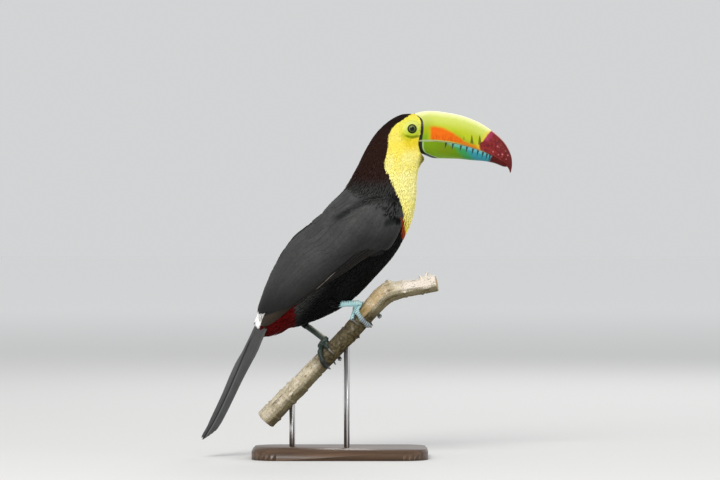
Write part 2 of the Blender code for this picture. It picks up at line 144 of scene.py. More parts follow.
class Paint:
    """A material being made: a Principled shader and the nodes that feed it."""

    def __init__(self, name, **settings):
        self.material = bpy.data.materials.new(name)
        self.material.use_nodes = True
        self.tree = self.material.node_tree
        self.shader = self.tree.nodes["Principled BSDF"]
        for words, value in settings.items():
            self.set(words.replace("_", " "), value)

    def feed(self, socket, value):
        if isinstance(value, Wire):
            self.tree.links.new(value.socket, socket)
        elif hasattr(socket.default_value, "__len__") and isinstance(value, tuple):
            socket.default_value = (*value, 1.0)[: len(socket.default_value)]
        else:
            socket.default_value = value

    def node(self, kind, settings=(), inputs=()):
        """Adds a node: its settings are set first, then its sockets are fed."""
        made = self.tree.nodes.new("ShaderNode" + kind)
        for name, value in dict(settings).items():
            setattr(made, name, value)
        for name, value in dict(inputs).items():
            self.feed(made.inputs[name], value)
        return made

    def wire(self, kind, settings=(), inputs=(), output=0):
        """Adds a node and gives one of its outputs."""
        return Wire(self, self.node(kind, settings, inputs).outputs[output])

    def place(self):
        """Object coordinates in millimetres."""
        return self.scaled(self.wire("TexCoord", output="Object"), 1 / MM)

    def attribute(self, name, output="Fac"):
        return self.wire("Attribute", {"attribute_name": name}, output=output)

    def scaled(self, vector, factor):
        return self.wire("VectorMath", {"operation": "SCALE"}, {0: vector, "Scale": factor})

    def stretched(self, vector, factors):
        return self.wire("VectorMath", {"operation": "MULTIPLY"}, {0: vector, 1: factors})

    def distance(self, vector, point):
        return self.wire("VectorMath", {"operation": "DISTANCE"}, {0: vector, 1: point}, "Value")

    def axes(self, vector):
        return [Wire(self, output) for output in self.node("SeparateXYZ", inputs={0: vector}).outputs]

    def noise(self, vector, scale, detail=3, roughness=0.55):
        inputs = {"Vector": vector, "Scale": scale, "Detail": detail, "Roughness": roughness}
        return self.wire("TexNoise", inputs=inputs, output="Fac")

    def cells(self, vector, scale):
        """How far a place is from the nearest of many scattered points."""
        return self.wire("TexVoronoi", inputs={"Vector": vector, "Scale": scale}, output="Distance")

    def step(self, value, low, high):
        """0 below low and 1 above high, with a smooth change between; low may be the higher."""
        inputs = {"Value": value, "From Min": low, "From Max": high}
        return self.wire("MapRange", {"interpolation_type": "SMOOTHSTEP"}, inputs)

    def span(self, value, low, first, last, high):
        """1 from first to last, and 0 below low and above high."""
        return self.step(value, low, first) * self.step(value, high, last)

    def beside(self, value, middle, far, near):
        """1 within near of the middle, and 0 further than far from it."""
        return self.step(abs(value - middle), far, near)

    def curve(self, value, points):
        """A smooth curve through (value, result) points."""
        (first, last), results = (points[0][0], points[-1][0]), [p[1] for p in points]
        low, high = min(results), max(results)
        node = self.node("FloatCurve", inputs={"Value": (value - first) / (last - first)})
        line = node.mapping.curves[0]
        spots = [((at - first) / (last - first), (y - low) / (high - low)) for at, y in points]
        line.points[0].location, line.points[1].location = spots[0], spots[-1]
        for spot in spots[1:-1]:
            line.points.new(*spot)
        node.mapping.update()
        return Wire(self, node.outputs[0]) * (high - low) + low

    def mix(self, share, first, second, blend="MIX"):
        inputs = {0: share, 6: first, 7: second}
        return self.wire("Mix", {"data_type": "RGBA", "blend_type": blend}, inputs, 2)

    def layers(self, colour, *layers):
        """Lays tones over a colour one after another, each by its share."""
        for share, tone in layers:
            colour = self.mix(share, colour, tone)
        return colour

    def bump(self, height, strength, distance):
        inputs = {"Height": height, "Strength": strength, "Distance": distance}
        self.set("Normal", self.wire("Bump", inputs=inputs))

    def set(self, name, value):
        """Feeds one of the shader's own sockets, whatever the case of its name."""
        sockets = {socket.name.lower(): socket for socket in self.shader.inputs}
        self.feed(sockets[name.lower()], value)

    def done(self, colour):
        self.set("Base Color", colour)
        return self.material


YELLOW, DEEP_YELLOW, PALE_YELLOW = (0.97, 0.86, 0.19), (0.95, 0.77, 0.02), (0.97, 0.91, 0.36)
BIB_HIGHLIGHT_CREAM, GREEN_YELLOW = (0.99, 0.93, 0.40), (0.84, 0.85, 0.12)
LIME_SKIN, PALE_SKIN, FOLD_SHADE_GREEN = (0.36, 0.46, 0.015), (0.66, 0.69, 0.15), (0.15, 0.21, 0.0)
OLIVE_FRECKLE, CHIN_SHADE_OLIVE = (0.46, 0.46, 0.015), (0.17, 0.15, 0.008)
LID_SHADOW_BLACK = (0.010, 0.012, 0.004)
MAROON, BLACK, SLATE = (0.027, 0.011, 0.008), (0.004, 0.004, 0.0042), (0.042, 0.042, 0.041)
RED, SCARLET, WHITE = (0.085, 0.002, 0.002), (0.34, 0.045, 0.008), (0.97, 0.96, 0.95)

# Where the yellow of the face and bib ends: height, then how far forward it starts there.
BIB_EDGE = [
    (256.0, 88.0), (268.2, 79.0), (279.0, 77.4), (288.6, 76.0), (300.6, 73.4), (312.6, 69.8),
    (321.0, 66.0), (330.6, 61.4), (337.8, 59.0), (342.6, 55.4), (349.8, 53.6), (359.4, 54.8),
    (366.6, 56.6), (375.0, 57.8), (383.4, 58.4), (391.8, 61.4), (398.4, 66.2), (402.6, 72.0),
    (407.4, 79.6), (410.7, 84.4), (413.0, 87.6), (420.0, 94.0),
]


# Painted shade on the cheek below and behind the eye: offset from the eye, reach, strength and colour.
CHEEK_SHADE = (
    ((-1.0, 0.0, -15.0), 17.0, 0.75, (0.80, 0.62, 0.0)),
    ((-6.0, 0.0, -8.5), 11.5, 0.60, (0.45, 0.53, 0.0)),
)


def from_eyes(paint, place, off=(0, 0, 0)):
    """How far a place is from the nearer eye, or from the spot at an offset from it."""
    gaps = [paint.distance(place, tuple(EYE[side] / MM + Vector(off))) for side in SIDES]
    return gaps[0].math("MINIMUM", gaps[1])


def plumage_colour(paint, place):
    """The bird's markings, with painted shade on the cheek, chin and skin fold below the eye, painted
    shadow at the lids and a painted highlight on the bib, as a colour at a place in millimetres, and
    how far it is the yellow bib.
    """
    x, _, z = paint.axes(place)
    eye_x, _, eye_z = EYE["right"] / MM
    eye_far = from_eyes(paint, place)
    wobble = (paint.noise(place, 0.45, 2) - 0.5) * 3.4
    ahead = x - paint.curve(z, BIB_EDGE) + wobble
    bib = paint.step(ahead, -0.5, 0.7)
    warm = paint.step(paint.noise(place, 0.06, 2), 0.35, 0.65)
    freckles = paint.step(paint.noise(place, 1.1, 2), 0.52, 0.62) * paint.step(eye_far, 25, 14)
    freckles = freckles * paint.step(x, 92, 80) * paint.step(z, 404, 396)
    bare = paint.step(eye_far + wobble * 0.3, 12.6, 10.4) * paint.step(eye_far, 13.5, 8)
    over_eye = z - eye_z - (x - eye_x) * 0.25 + wobble
    # painted shade on the chin, under the root of the lower bill
    chin_shade = paint.step(x, 93, 98.5) * paint.span(z, 340, 350, 362, 368)
    # painted shade along the fold of bare skin below the eye
    fold_shade = paint.beside(eye_far + wobble * 0.4, 11.4, 2.6, 0.8)
    fold_shade = fold_shade * paint.step(z - eye_z + wobble, -5.5, -9)
    # a dark ring at the lids: their own dark edge with painted shadow
    lid = ((x - eye_x) * (x - eye_x) + (z - eye_z) * (z - eye_z)).math("SQRT")
    yellow = paint.layers(
        paint.mix(warm, YELLOW, PALE_YELLOW),
        (paint.step(z, 340, 392) * 0.6 + paint.step(z, 300, 262) * 0.9, DEEP_YELLOW),
        # the bib's own paler yellow across its middle, with a painted highlight
        (paint.span(z, 292, 312, 336, 352) * 0.6, BIB_HIGHLIGHT_CREAM),
        (paint.step(eye_far, 20, 11) * 0.7, GREEN_YELLOW),
        # painted shade on the cheek below and behind the eye
        *((paint.step(from_eyes(paint, place, off), reach, reach * 0.4) * share, tone)
          for off, reach, share, tone in CHEEK_SHADE),
        (freckles * 0.45, OLIVE_FRECKLE),
        (bare, paint.mix(paint.step(over_eye, -7, 6), LIME_SKIN, PALE_SKIN)),
        (chin_shade * 0.9, CHIN_SHADE_OLIVE),
        (fold_shade * 0.85, FOLD_SHADE_GREEN),
        (paint.step(lid, 5.9, 5.3), LID_SHADOW_BLACK),
    )
    over_back = z * 0.623 - x * 0.782 - 197.6
    dark = paint.layers(
        paint.mix(paint.step(z + wobble * 2, 312, 332), BLACK, MAROON),
        (paint.step(z, 385, 405) * 0.5, BLACK),
        (paint.step(over_back, -62, -42) * paint.step(z + wobble, 340, 318), SLATE),
    )
    over_vent = z - (x + 54) * 0.62
    rump = paint.step(x, -86, -90) * paint.step(over_vent, 185.2, 186) * paint.step(z, 191, 186)
    colour = paint.layers(
        paint.mix(bib, dark, yellow),
        (paint.step(ahead, -5.6, -4.2) * paint.step(z + wobble, 294, 288) * (1 - bib), SCARLET),
        (paint.step(x, -50.5, -53.5) * paint.step(over_vent + wobble, 187.5, 184.5), RED),
        (rump, WHITE),
    )
    return colour, bib


def skin_material():
    """The skin under the coat, with the coat's markings and their painted light and shade on it."""
    paint = Paint("bare_skin", roughness=0.6, specular_ior_level=0.15)
    place = paint.place()
    paint.bump(paint.cells(place, 1.1), 0.5, 0.0004)
    return paint.done(plumage_colour(paint, place)[0])


# --- making pieces


def only(*objects):
    """Selects just these objects, the first of them active."""
    bpy.ops.object.select_all(action="DESELECT")
    for piece in objects:
        piece.select_set(True)
    bpy.context.view_layer.objects.active = objects[0]


def finish_piece(piece, material, slot, *nodes):
    """Gives a piece its material, hangs it under the root, and hides the CAD nodes it stands for."""
    piece.data.materials.clear()
    piece.data.materials.append(material)
    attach(piece, "root")
    if nodes:
        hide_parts(*nodes)
    return piece


def edit_all(piece, action, **settings):
    """Runs one edit-mode operator on the whole of a mesh."""
    only(piece)
    bpy.ops.object.mode_set(mode="EDIT")
    bpy.ops.mesh.select_all(action="SELECT")
    action(**settings)
    bpy.ops.object.mode_set(mode="OBJECT")


def solid_copy(name):
    """A copy of a CAD node with its loose triangles joined."""
    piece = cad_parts[name].copy()
    piece.data = piece.data.copy()
    piece.parent = None
    for key in list(piece.keys()):
        del piece[key]
    bpy.context.scene.collection.objects.link(piece)
    edit_all(piece, bpy.ops.mesh.remove_doubles, threshold=1e-6)
    return piece


def modify(piece, kind, **settings):
    """Adds a modifier and applies it."""
    change = piece.modifiers.new(kind.lower(), kind)
    for name, value in settings.items():
        setattr(change, name, value)
    only(piece)
    bpy.ops.object.modifier_apply(modifier=change.name)


def coordinates(mesh, what="vertices", key="co"):
    """The places (or another vector) of a mesh's vertices or faces, one row each."""
    items = getattr(mesh, what)
    values = np.empty(len(items) * 3, np.float32)
    items.foreach_get(key, values)
    return values.reshape(-1, 3).astype(float)


def move_vertices(mesh, places):
    """Puts a mesh's vertices at new places, in metres."""
    mesh.vertices.foreach_set("co", places.astype(np.float32).ravel())
    mesh.update()


def grid_mesh(name, rings):
    """A smooth closed mesh over an array of rings (rings, points round, 3), pointing outwards."""
    rows, columns = rings.shape[:2]
    index = np.arange(rows * columns).reshape(rows, columns)
    after = np.roll(index, -1, axis=1)
    faces = np.stack([index[:-1], after[:-1], after[1:], index[1:]], -1).reshape(-1, 4).tolist()
    faces += [index[0, ::-1].tolist(), index[-1].tolist()]
    mesh = bpy.data.meshes.new(name)
    mesh.from_pydata(rings.reshape(-1, 3).tolist(), [], faces)
    mesh.shade_smooth()
    piece = bpy.data.objects.new(name, mesh)
    bpy.context.scene.collection.objects.link(piece)
    edit_all(piece, bpy.ops.mesh.normals_make_consistent, inside=False)
    return piece


def read_table(rows, places):
    """Rows of a table at places between them, on a smooth curve through the rows."""
    rows, places = np.asarray(rows, float), np.asarray(places, float)
    start = np.clip(places.astype(int), 0, len(rows) - 2)
    share = (places - start)[..., None]
    a, b, c, d = (rows[np.clip(start + k, 0, len(rows) - 1)] for k in (-1, 0, 1, 2))
    bend, twist = 2 * a - 5 * b + 4 * c - d, 3 * (b - c) + d - a
    return b + 0.5 * share * (c - a + share * (bend + share * twist))


def ramp(values, low, high):
    """0 below low, 1 above high and even between; low may be the higher."""
    return np.clip((values - low) / (high - low), 0.0, 1.0)


def units(vectors):
    """Vectors of length one, the same way."""
    return vectors / np.maximum(np.linalg.norm(vectors, axis=-1, keepdims=True), 1e-12)


# --- skin

SKIN_VOXEL = 1.13 * MM
SEAM_COVER = 0.45 * MM
LID_RING, LID_THICKNESS, LID_OUT = 6.3 * MM, 1.75 * MM, 3.5 * MM
BARE_RING = 10.2  # the bare skin round each eye, from the eye's centre


def eye_gap(places):
    """How far each place is from the nearer eye's centre, in millimetres."""
    return np.min([np.linalg.norm(places - np.array(EYE[s]) / MM, axis=-1) for s in SIDES], axis=0)


def coat_depth(places):
    """How far the skin lies inside the solids: most on the body, nothing where it meets the bill."""
    face = ramp(places[:, 2] / MM, 330.0, 380.0)
    rim = ramp(places[:, 0] / MM, 84.0, 92.0) * ramp(places[:, 2] / MM, 352.0, 360.0)
    orbit = ramp(eye_gap(places / MM), BARE_RING, BARE_RING - 2.0)
    return (2.2 - 1.4 * face) * (1 - np.maximum(rim, orbit)) * MM


def reach_bill(places):
    """How far the face's rim is drawn forward over the root of the bill, or back from it."""
    x, _, z = places.T / MM
    heights = [356.0, 362.0, 367.0, 379.0, 392.0, 398.0, 402.0, 406.0, 410.0, 415.0]
    start = np.interp(z, heights, [88.0, 88.0, 87.0, 87.0, 88.0, 88.0, 86.0, 82.0, 77.0, 77.0])
    drawn = np.interp(z, heights, [0.0, -2.4, -4.4, -3.9, -3.2, -1.6, 0.8, 2.8, 2.2, 0.6])
    return drawn * ramp(x, start, start + 7.0) * MM


def squeeze(places):
    """Narrows the body towards the root of the tail; places in metres."""
    x, _, z = places.T / MM
    end = ramp(x + (z - 160.0) * 0.5, -78.0, -92.0) * ramp(z, 178.0, 168.0)
    return places * np.stack([np.ones(len(x)), 1 - 0.4 * end, np.ones(len(x))], 1)


def make_skin():
    """One skin over the head, neck, trunk, folded wings and thighs, with a lid round each eye."""
    parts = [solid_copy(name) for name in FLESH]
    for piece in parts:
        modify(piece, "DISPLACE", strength=SEAM_COVER, mid_level=0.0)
    for side, sign in SIDES.items():
        bpy.ops.mesh.primitive_torus_add(
            location=EYE[side] + Vector((0, sign * LID_OUT, 0)),
            rotation=(math.radians(90), 0, 0),
            major_radius=LID_RING,
            minor_radius=LID_THICKNESS,
            major_segments=48,
            minor_segments=16,
        )
        parts.append(bpy.context.object)
    only(*parts)
    bpy.ops.object.join()
    skin = bpy.context.object
    skin.name = "skin"
    modify(skin, "REMESH", mode="VOXEL", voxel_size=SKIN_VOXEL)
    modify(skin, "SMOOTH", factor=0.5, iterations=6)
    places = coordinates(skin.data)
    normals = coordinates(skin.data, "vertices", "normal")
    places = places - normals * (coat_depth(places) + SEAM_COVER)[:, None]
    places[:, 0] += reach_bill(places)
    places = squeeze(places)
    tuck = np.exp(-(((places[:, 0] / MM + 62.0) / 8.5) ** 2)) * ramp(places[:, 2] / MM, 176.0, 160.0)
    places[:, 2] += 3.2 * MM * tuck
    move_vertices(skin.data, places)
    modify(skin, "SMOOTH", factor=0.5, iterations=3)
    skin.data.shade_smooth()
    return finish_piece(skin, skin_material(), "body_plumage", *FLESH)


# --- bill


def bill_rings(table, down):
    """Rings of one mandible: half an oval over the tomium, closed by a shallow hollow."""
    rows = read_table(table, np.linspace(0, len(table) - 1.0, BILL_ROWS))
    edge_x, edge_z, far_x, far_z = (rows[:, i] for i in ((0, 1, 2, 3) if down else (2, 3, 0, 1)))
    half = rows[:, 4]
    arc = int(BILL_COLUMNS * 0.75)
    turn = np.concatenate([np.linspace(0, math.pi, arc), np.full(BILL_COLUMNS - arc, math.pi)])
    inner = np.concatenate([np.zeros(arc), np.linspace(0, 1, BILL_COLUMNS - arc + 2)[1:-1]])
    lift = 0.965 * np.sin(turn) ** 0.9
    keel = 0.035 * np.exp(-(((turn - math.pi / 2) / 0.16) ** 2))
    lift = lift + keel - 0.05 * np.sin(inner * math.pi)
    flat = np.sign(np.cos(turn)) * np.abs(np.cos(turn)) ** 0.86
    flat = np.where(inner > 0, 2 * inner - 1, flat)
    x = edge_x[:, None] + (far_x - edge_x)[:, None] * lift
    z = edge_z[:, None] + (far_z - edge_z)[:, None] * lift
    pinch = 1 - 0.2 * ramp(x, 99.0, 88.0) * ramp(z, 394.0, 408.0)
    return np.stack([x, half[:, None] * flat * pinch, z], -1) * MM


def make_bill():
    """The horn of both mandibles."""
    for name, table, down, paint in (
        ("bill_upper", UPPER_BILL, False, upper_bill_material()),
        ("bill_lower", LOWER_BILL, True, lower_bill_material()),
    ):
        piece = grid_mesh(name + "_horn", bill_rings(table, down))
        finish_piece(piece, paint, name + "_horn", name)


ORANGE_TOP = [
    (104.0, 393.0), (109.0, 396.4), (120.0, 395.6), (132.0, 390.6), (141.6, 384.6),
    (151.2, 376.8), (160.8, 371.8), (172.0, 366.0),
]
MAROON_EDGE = [
    (340.0, 190.0), (360.0, 173.0), (366.0, 169.0), (371.0, 167.2), (375.7, 167.4),
    (379.0, 170.6), (382.9, 173.9), (387.4, 177.2), (391.0, 180.4), (400.0, 187.0),
]
TOMIUM = [
    (88.0, 379.6), (109.0, 379.6), (124.0, 378.6), (144.0, 375.3), (162.0, 370.3),
    (177.0, 364.9), (188.6, 358.9), (197.0, 352.8), (204.0, 345.0),
]
CULMEN = [
    (88.0, 411.5), (106.0, 415.8), (124.0, 414.4), (148.4, 409.4), (170.8, 399.8), (188.0, 387.6),
    (199.4, 375.2), (206.0, 356.0),
]
GAPE_HEIGHT = 379.6
# The dark marks over the tomium: distance forward, top, how far up they end, and strength.
UPPER_TICKS = ((148.4, 386.6, 8.0, 0.5), (157.8, 388.4, 6.0, 0.85), (167.4, 388.4, 7.5, 0.85))
LOWER_TICKS = (127.2, 135.6, 145.2, 152.4, 159.6, 165.6, 171.6, 176.4, 180.0)
UPPER_MARK, LOWER_MARK = (0.06, 0.08, 0.004), (0.008, 0.025, 0.035)


def bill_common(name):
    """What both mandibles share: places, length-wise streaks and a wobble for their markings."""
    paint = Paint(name, specular_ior_level=0.14, coat_weight=0.06, coat_roughness=0.2)
    place = paint.place()
    x, _, z = paint.axes(place)
    streaks = paint.noise(paint.stretched(place, (0.05, 0.5, 0.5)), 1, 4)
    wobble = (paint.noise(place, 0.22) - 0.5) * 3
    paint.set("Roughness", 0.26 + streaks * 0.16)
    paint.bump(streaks, 0.25, 0.0004)
    return paint, place, x, z, streaks, wobble


def upper_bill_material():
    """Lime horn with an orange panel, dark marks over the tomium and a maroon tip, with painted
    highlights along the ridge and on the tip, and painted shade on the tip's lower part.
    """
    paint, place, x, z, streaks, wobble = bill_common("upper_bill_horn")
    above = z - paint.curve(x, TOMIUM)
    below_ridge = paint.curve(x, CULMEN) - z
    under_orange = paint.curve(x, ORANGE_TOP) - z
    rear = paint.step(x + wobble, 107.5, 103) * paint.step(z + wobble, 394, 383)
    shaded = paint.step(under_orange + wobble, -9, -1)
    lime = paint.layers(
        paint.mix(paint.step(x, 102, 118), (0.33, 0.38, 0.002), (0.44, 0.51, 0.015)),
        (paint.step(x, 130, 176), (0.41, 0.47, 0.016)),
        (rear * 0.8, (0.14, 0.32, 0.004)),
        (shaded * paint.step(x, 128, 148) * 0.6, (0.26, 0.36, 0.008)),
        # paler towards the ridge: partly the horn's own paler top, partly a painted highlight that
        # turns cream along the ridge
        (paint.step(below_ridge + wobble, 22, 6) * 0.6, (0.64, 0.71, 0.20)),
        (paint.step(below_ridge + wobble, 8, 1.5), (0.79, 0.81, 0.36)),
        (paint.step(below_ridge, 2.6, 0.6), (0.93, 0.92, 0.50)),
    )
    orange = paint.step(under_orange + wobble * 0.9, -2.8, 2.4) * paint.step(x + wobble, 106, 110.5)
    orange = orange * paint.step(x, 170, 162) * paint.step(above, 0.5, 2.2)
    embers = paint.step(paint.noise(paint.stretched(place, (0.5, 0.5, 0.2)), 1, 4), 0.42, 0.62)
    fiery = paint.layers(
        paint.mix(paint.step(x - z * 0.5, -66, -40) * 0.75, (0.80, 0.155, 0.003), (0.56, 0.13, 0)),
        (embers * paint.step(above, 12, 3) * 0.75, (0.36, 0.035, 0)),
        (streaks, (0.66, 0.11, 0)),
    )
    warm = paint.step(above, 6.5, 2.5) * paint.span(x, 140, 150, 176, 184)
    past = x - paint.curve(z, MAROON_EDGE) + wobble
    strip = paint.step(past, -5.5, -1.5) * paint.step(below_ridge, 1, 5)
    marks = []
    for tick, top, end, strength in UPPER_TICKS:
        wedge = abs(x - tick + wobble * 0.15) - (top - z) * 0.17
        mark = paint.step(wedge, 0.6, -0.5) * paint.step(z, top, top - 4)
        marks.append((mark * paint.step(above, end - 2.5, end) * strength, UPPER_MARK))
    clots = paint.noise(place, 0.33, 4)
    maroon_with_painted_light = paint.layers(
        paint.mix(paint.step(clots, 0.36, 0.62), (0.235, 0.022, 0.020), (0.135, 0.010, 0.014)),
        # a painted highlight on the upper part of the tip, and painted shade on its lower part
        (paint.step(past, 10, 2.5) * paint.step(above, 10, 17) * 0.8, (0.36, 0.035, 0.095)),
        (paint.step(z - (x - 200) * 0.5, 368, 350) * 0.75, (0.095, 0.006, 0.004)),
        (paint.step(x + wobble, 184, 200) * 0.5, (0.085, 0.007, 0.006)),
    )
    tip = paint.step(past, -1.3, 1.3)
    # a painted highlight along the ridge of the tip
    ridge_highlight = paint.step(below_ridge + wobble * 0.3, 2, 0.5) * paint.step(z, 360, 372)
    nicks = paint.step(paint.cells(paint.stretched(place, (0.2, 0, 0.2)), 1), 0.30, 0.16)
    rim = paint.step(above + wobble * 0.2, 1.3, 0.4) * paint.step(x, 200, 192)
    rim_colour = paint.layers(
        paint.mix(paint.step(x, 120, 150), (0.62, 0.66, 0.36), (0.66, 0.30, 0.07)),
        (paint.step(x, 168, 176), (0.28, 0.05, 0.035)),
    )
    colour = paint.layers(
        lime,
        (orange, fiery),
        (warm * 0.8, (0.60, 0.17, 0.004)),
        (strip * 0.55, (0.80, 0.50, 0.03)),
        *marks,
        (tip, maroon_with_painted_light),
        (ridge_highlight * tip * 0.75, (0.74, 0.46, 0.38)),
        (nicks * tip * paint.span(above, 1, 2.4, 12, 19) * 0.75, (0.60, 0.17, 0.17)),
        (rim * 0.8, rim_colour),
    )
    return paint.done(base_band(paint, x, z, colour))


def lower_bill_material():
    """Green horn that turns blue forward, with tooth marks and a maroon tip."""
    paint, place, x, z, streaks, wobble = bill_common("lower_bill_horn")
    below = paint.curve(x, TOMIUM) - z
    forward = x - below + wobble * 1.6
    marks = []
    for tick in LOWER_TICKS:
        wedge = abs(x + below * 0.2 - tick) + below * 0.17
        marks.append((paint.step(wedge + wobble * 0.12, 1.9, 1.1) * 0.92, LOWER_MARK))
    tip = paint.step(x + below * 0.4 + wobble, 181.5, 183.5)
    rim = paint.mix(paint.step(x, 172, 182), (0.56, 0.60, 0.40), (0.20, 0.03, 0.02))
    colour = paint.layers(
        paint.mix(paint.step(x, 132, 108), (0.105, 0.245, 0), (0.155, 0.275, 0)),
        (paint.step(paint.distance(place, (126, -14, 369)), 15, 4) * 0.6, (0.175, 0.225, 0)),
        (paint.step(below, 12, 18), (0.17, 0.33, 0.005)),
        (paint.step(forward, 127, 139), (0.035, 0.27, 0.075)),
        (paint.step(forward, 140, 153), (0.028, 0.25, 0.31)),
        (paint.step(below, 5.5, 2.5) * paint.step(forward, 124, 132) * 0.5, (0.17, 0.50, 0.50)),
        *marks,
        (tip, paint.mix(streaks, (0.095, 0.004, 0.002), (0.055, 0.002, 0.002))),
        (paint.step(below + wobble * 0.2, 1.2, 0.3) * 0.6, rim),
    )
    return paint.done(base_band(paint, x, z, colour))


# Where the black line at the bill's base ends: height, and how far forward.
BASE_BAND = [
    (353.0, 130.0), (357.2, 122.0), (360.4, 114.0), (363.4, 106.6), (368.0, 99.6), (379.4, 98.3),
    (391.8, 99.8), (398.0, 99.8), (404.2, 98.8), (409.3, 94.0), (411.5, 91.0), (414.5, 87.4),
    (418.0, 84.0),
]


def base_band(paint, x, z, colour):
    """The black line where the horn meets the face, a painted highlight just in front of it on the
    lower mandible, and the pale gape.
    """
    ahead = x - paint.curve(z, BASE_BAND)
    gape = paint.beside(z, GAPE_HEIGHT, 1.3, 0.6)
    # a painted highlight just in front of the black line on the lower mandible
    rim = paint.beside(ahead, 1.1, 1.1, 0.3) * paint.step(z, 380, 377)
    return paint.layers(
        colour,
        (gape * paint.step(ahead, 18, 6) * 0.8, (0.62, 0.70, 0.42)),
        (rim * 0.55, (0.50, 0.70, 0.46)),
        (paint.step(ahead, 0.5, -0.4) * (1 - gape * 0.8), (0.012, 0.012, 0.010)),
    )


# --- eyes


def make_eyes():
    """A glossy ball in each lid."""
    for side, sign in SIDES.items():
        bpy.ops.mesh.primitive_uv_sphere_add(
            segments=64, ring_count=40, radius=EYE_RADIUS,
            location=EYE[side], rotation=(math.radians(90) * -sign, 0, 0),
        )
        ball = bpy.context.object
        ball.name = "eyeball_" + side
        bpy.ops.object.transform_apply(location=True, rotation=True, scale=True)
        ball.data.shade_smooth()
        finish_piece(ball, eye_material(side), "eye_gloss", "eye_" + side)


def eye_material(side):
    """A dark pupil, an olive iris with a painted highlight over its upper part, and a dark rim of
    painted shadow from the lid.
    """
    paint = Paint("eye_" + side, roughness=0.25, specular_ior_level=0.1,
                  coat_weight=0.3, coat_roughness=0.03)
    eye_x, _, eye_z = EYE[side] / MM
    place = paint.place()
    x, _, z = paint.axes(place)
    out = paint.distance(paint.stretched(place, (1, 0, 1)), (eye_x, 0, eye_z))
    # a painted highlight over the upper part of the iris
    upper = paint.step(z - x * 0.6 - (eye_z - eye_x * 0.6), -1, 4.5)
    return paint.done(paint.layers(
        paint.mix(paint.noise(place, 2.6, 4), (0.022, 0.036, 0.005), (0.075, 0.115, 0.015)),
        (upper * 0.7, (0.26, 0.31, 0.11)),
        # a dark rim round the iris: painted shadow of the lid
        (paint.step(out, 3.5, 4.5), (0.004, 0.006, 0.002)),
        (paint.step(out, 2.85, 2.45), (0.003, 0.003, 0.003)),
    ))


# --- lie of the coat


def rings_at(sections):
    """For places along the body: its middle, the line up it, half its depth, and half its width."""
    row = read_table(BODY, np.clip(sections, 0.0, LAST_SECTION))
    zero = np.zeros_like(row[..., 0])
    back = np.stack([row[..., 0], zero, row[..., 1]], -1)
    belly = np.stack([row[..., 2], zero, row[..., 3]], -1)
    reach = np.linalg.norm(back - belly, axis=-1) / 2
    return (back + belly) / 2, units(back - belly), reach, row[..., 4]


def body_places(sections, angles):
    """Places on the body in millimetres; angle 0 is the back and half a turn the belly."""
    middle, up, reach, width = rings_at(sections)
    rise = (reach * np.cos(angles))[..., None] * up
    side = (width * np.sin(angles))[..., None] * np.array([0.0, 1.0, 0.0])
    return middle + rise + side


SECTION_STEPS = np.linspace(0.0, LAST_SECTION, 361)


def find_sections(places):
    """Each place's section along the body, and its angle round it (negative on the right side)."""
    middle, up, reach, width = rings_at(SECTION_STEPS)
    ahead = np.stack([up[:, 2], -up[:, 0]], 1)
    found = np.empty(len(places))
    for start in range(0, len(places), 20000):
        part = places[start : start + 20000, None, ::2] - middle[None, :, ::2]
        gap = (part * ahead).sum(-1)
        beyond = np.abs((part * up[:, ::2]).sum(-1)) - reach
        best = np.argmin(np.abs(gap) + np.maximum(beyond, 0.0), axis=1)
        rows = np.arange(len(best))
        before, after = np.maximum(best - 1, 0), np.minimum(best + 1, len(SECTION_STEPS) - 1)
        slope = (gap[rows, before] - gap[rows, after]) / (after - before)
        shift = np.clip(gap[rows, best] / np.maximum(slope, 1e-3), -0.6, 0.6)
        found[start : start + 20000] = (best + shift) * SECTION_STEPS[1]
    found = np.clip(found, 0.0, LAST_SECTION)
    middle, up, reach, width = rings_at(found)
    height = ((places - middle) * up).sum(-1) / reach
    return found, np.arctan2(places[:, 1] / width, height)


# Each thigh's ankle and knee.
THIGHS = {
    "right": ((-6.0, -29.0, 184.6), (6.0, -24.0, 208.0)),
    "left": ((-43.0, 20.0, 159.6), (-27.0, 22.0, 190.0)),
}


class Hide:
    """The skin read as arrays in millimetres, one row a face, with the way feathers lie there."""

    def __init__(self, skin):
        mesh = skin.data
        self.centres = coordinates(mesh, "polygons", "center") / MM
        self.normals = coordinates(mesh, "polygons", "normal")
        self.areas = np.empty(len(mesh.polygons), np.float32)
        mesh.polygons.foreach_get("area", self.areas)
        self.areas = self.areas / MM**2
        self.tree = BVHTree.FromObject(skin, bpy.context.evaluated_depsgraph_get())
        self.sections, self.angles = find_sections(self.centres)
        self.flow = self.lie()

    def in_thigh(self, side, margin):
        """Which faces are in the box round a thigh, widened by a margin."""
        low, high = (np.array(corner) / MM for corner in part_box("thigh_" + side))
        return ((self.centres > low - margin) & (self.centres < high + margin)).all(1)

    def lie(self):
        """The way the feathers point: from the bill back and down to the tail."""
        small = 0.15
        ahead = body_places(np.minimum(self.sections + small, LAST_SECTION), self.angles)
        behind = body_places(np.maximum(self.sections - small, 0.0), self.angles)
        flow = units(behind - ahead)
        for side in SIDES:
            ankle, knee = (np.array(point) for point in THIGHS[side])
            share = ramp(self.centres[:, 2], knee[2] + 2, knee[2] - 8) * self.in_thigh(side, 1.5)
            flow = units(flow * (1 - share)[:, None] + units(ankle - knee) * share[:, None])
        return units(flow - (flow * self.normals).sum(-1, keepdims=True) * self.normals)

    def nearest(self, places):
        """For places in millimetres: the nearest places on the skin, and their faces."""
        spots, faces = np.empty_like(places), np.empty(len(places), int)
        for row, place in enumerate(places):
            spot, _, face, _ = self.tree.find_nearest(place * MM)
            spots[row], faces[row] = spot, face
        return spots / MM, faces


# Roots are shared out over cells of this size, in millimetres, with so many bits to an axis.
CELL, CELL_BITS = 1.5, 9


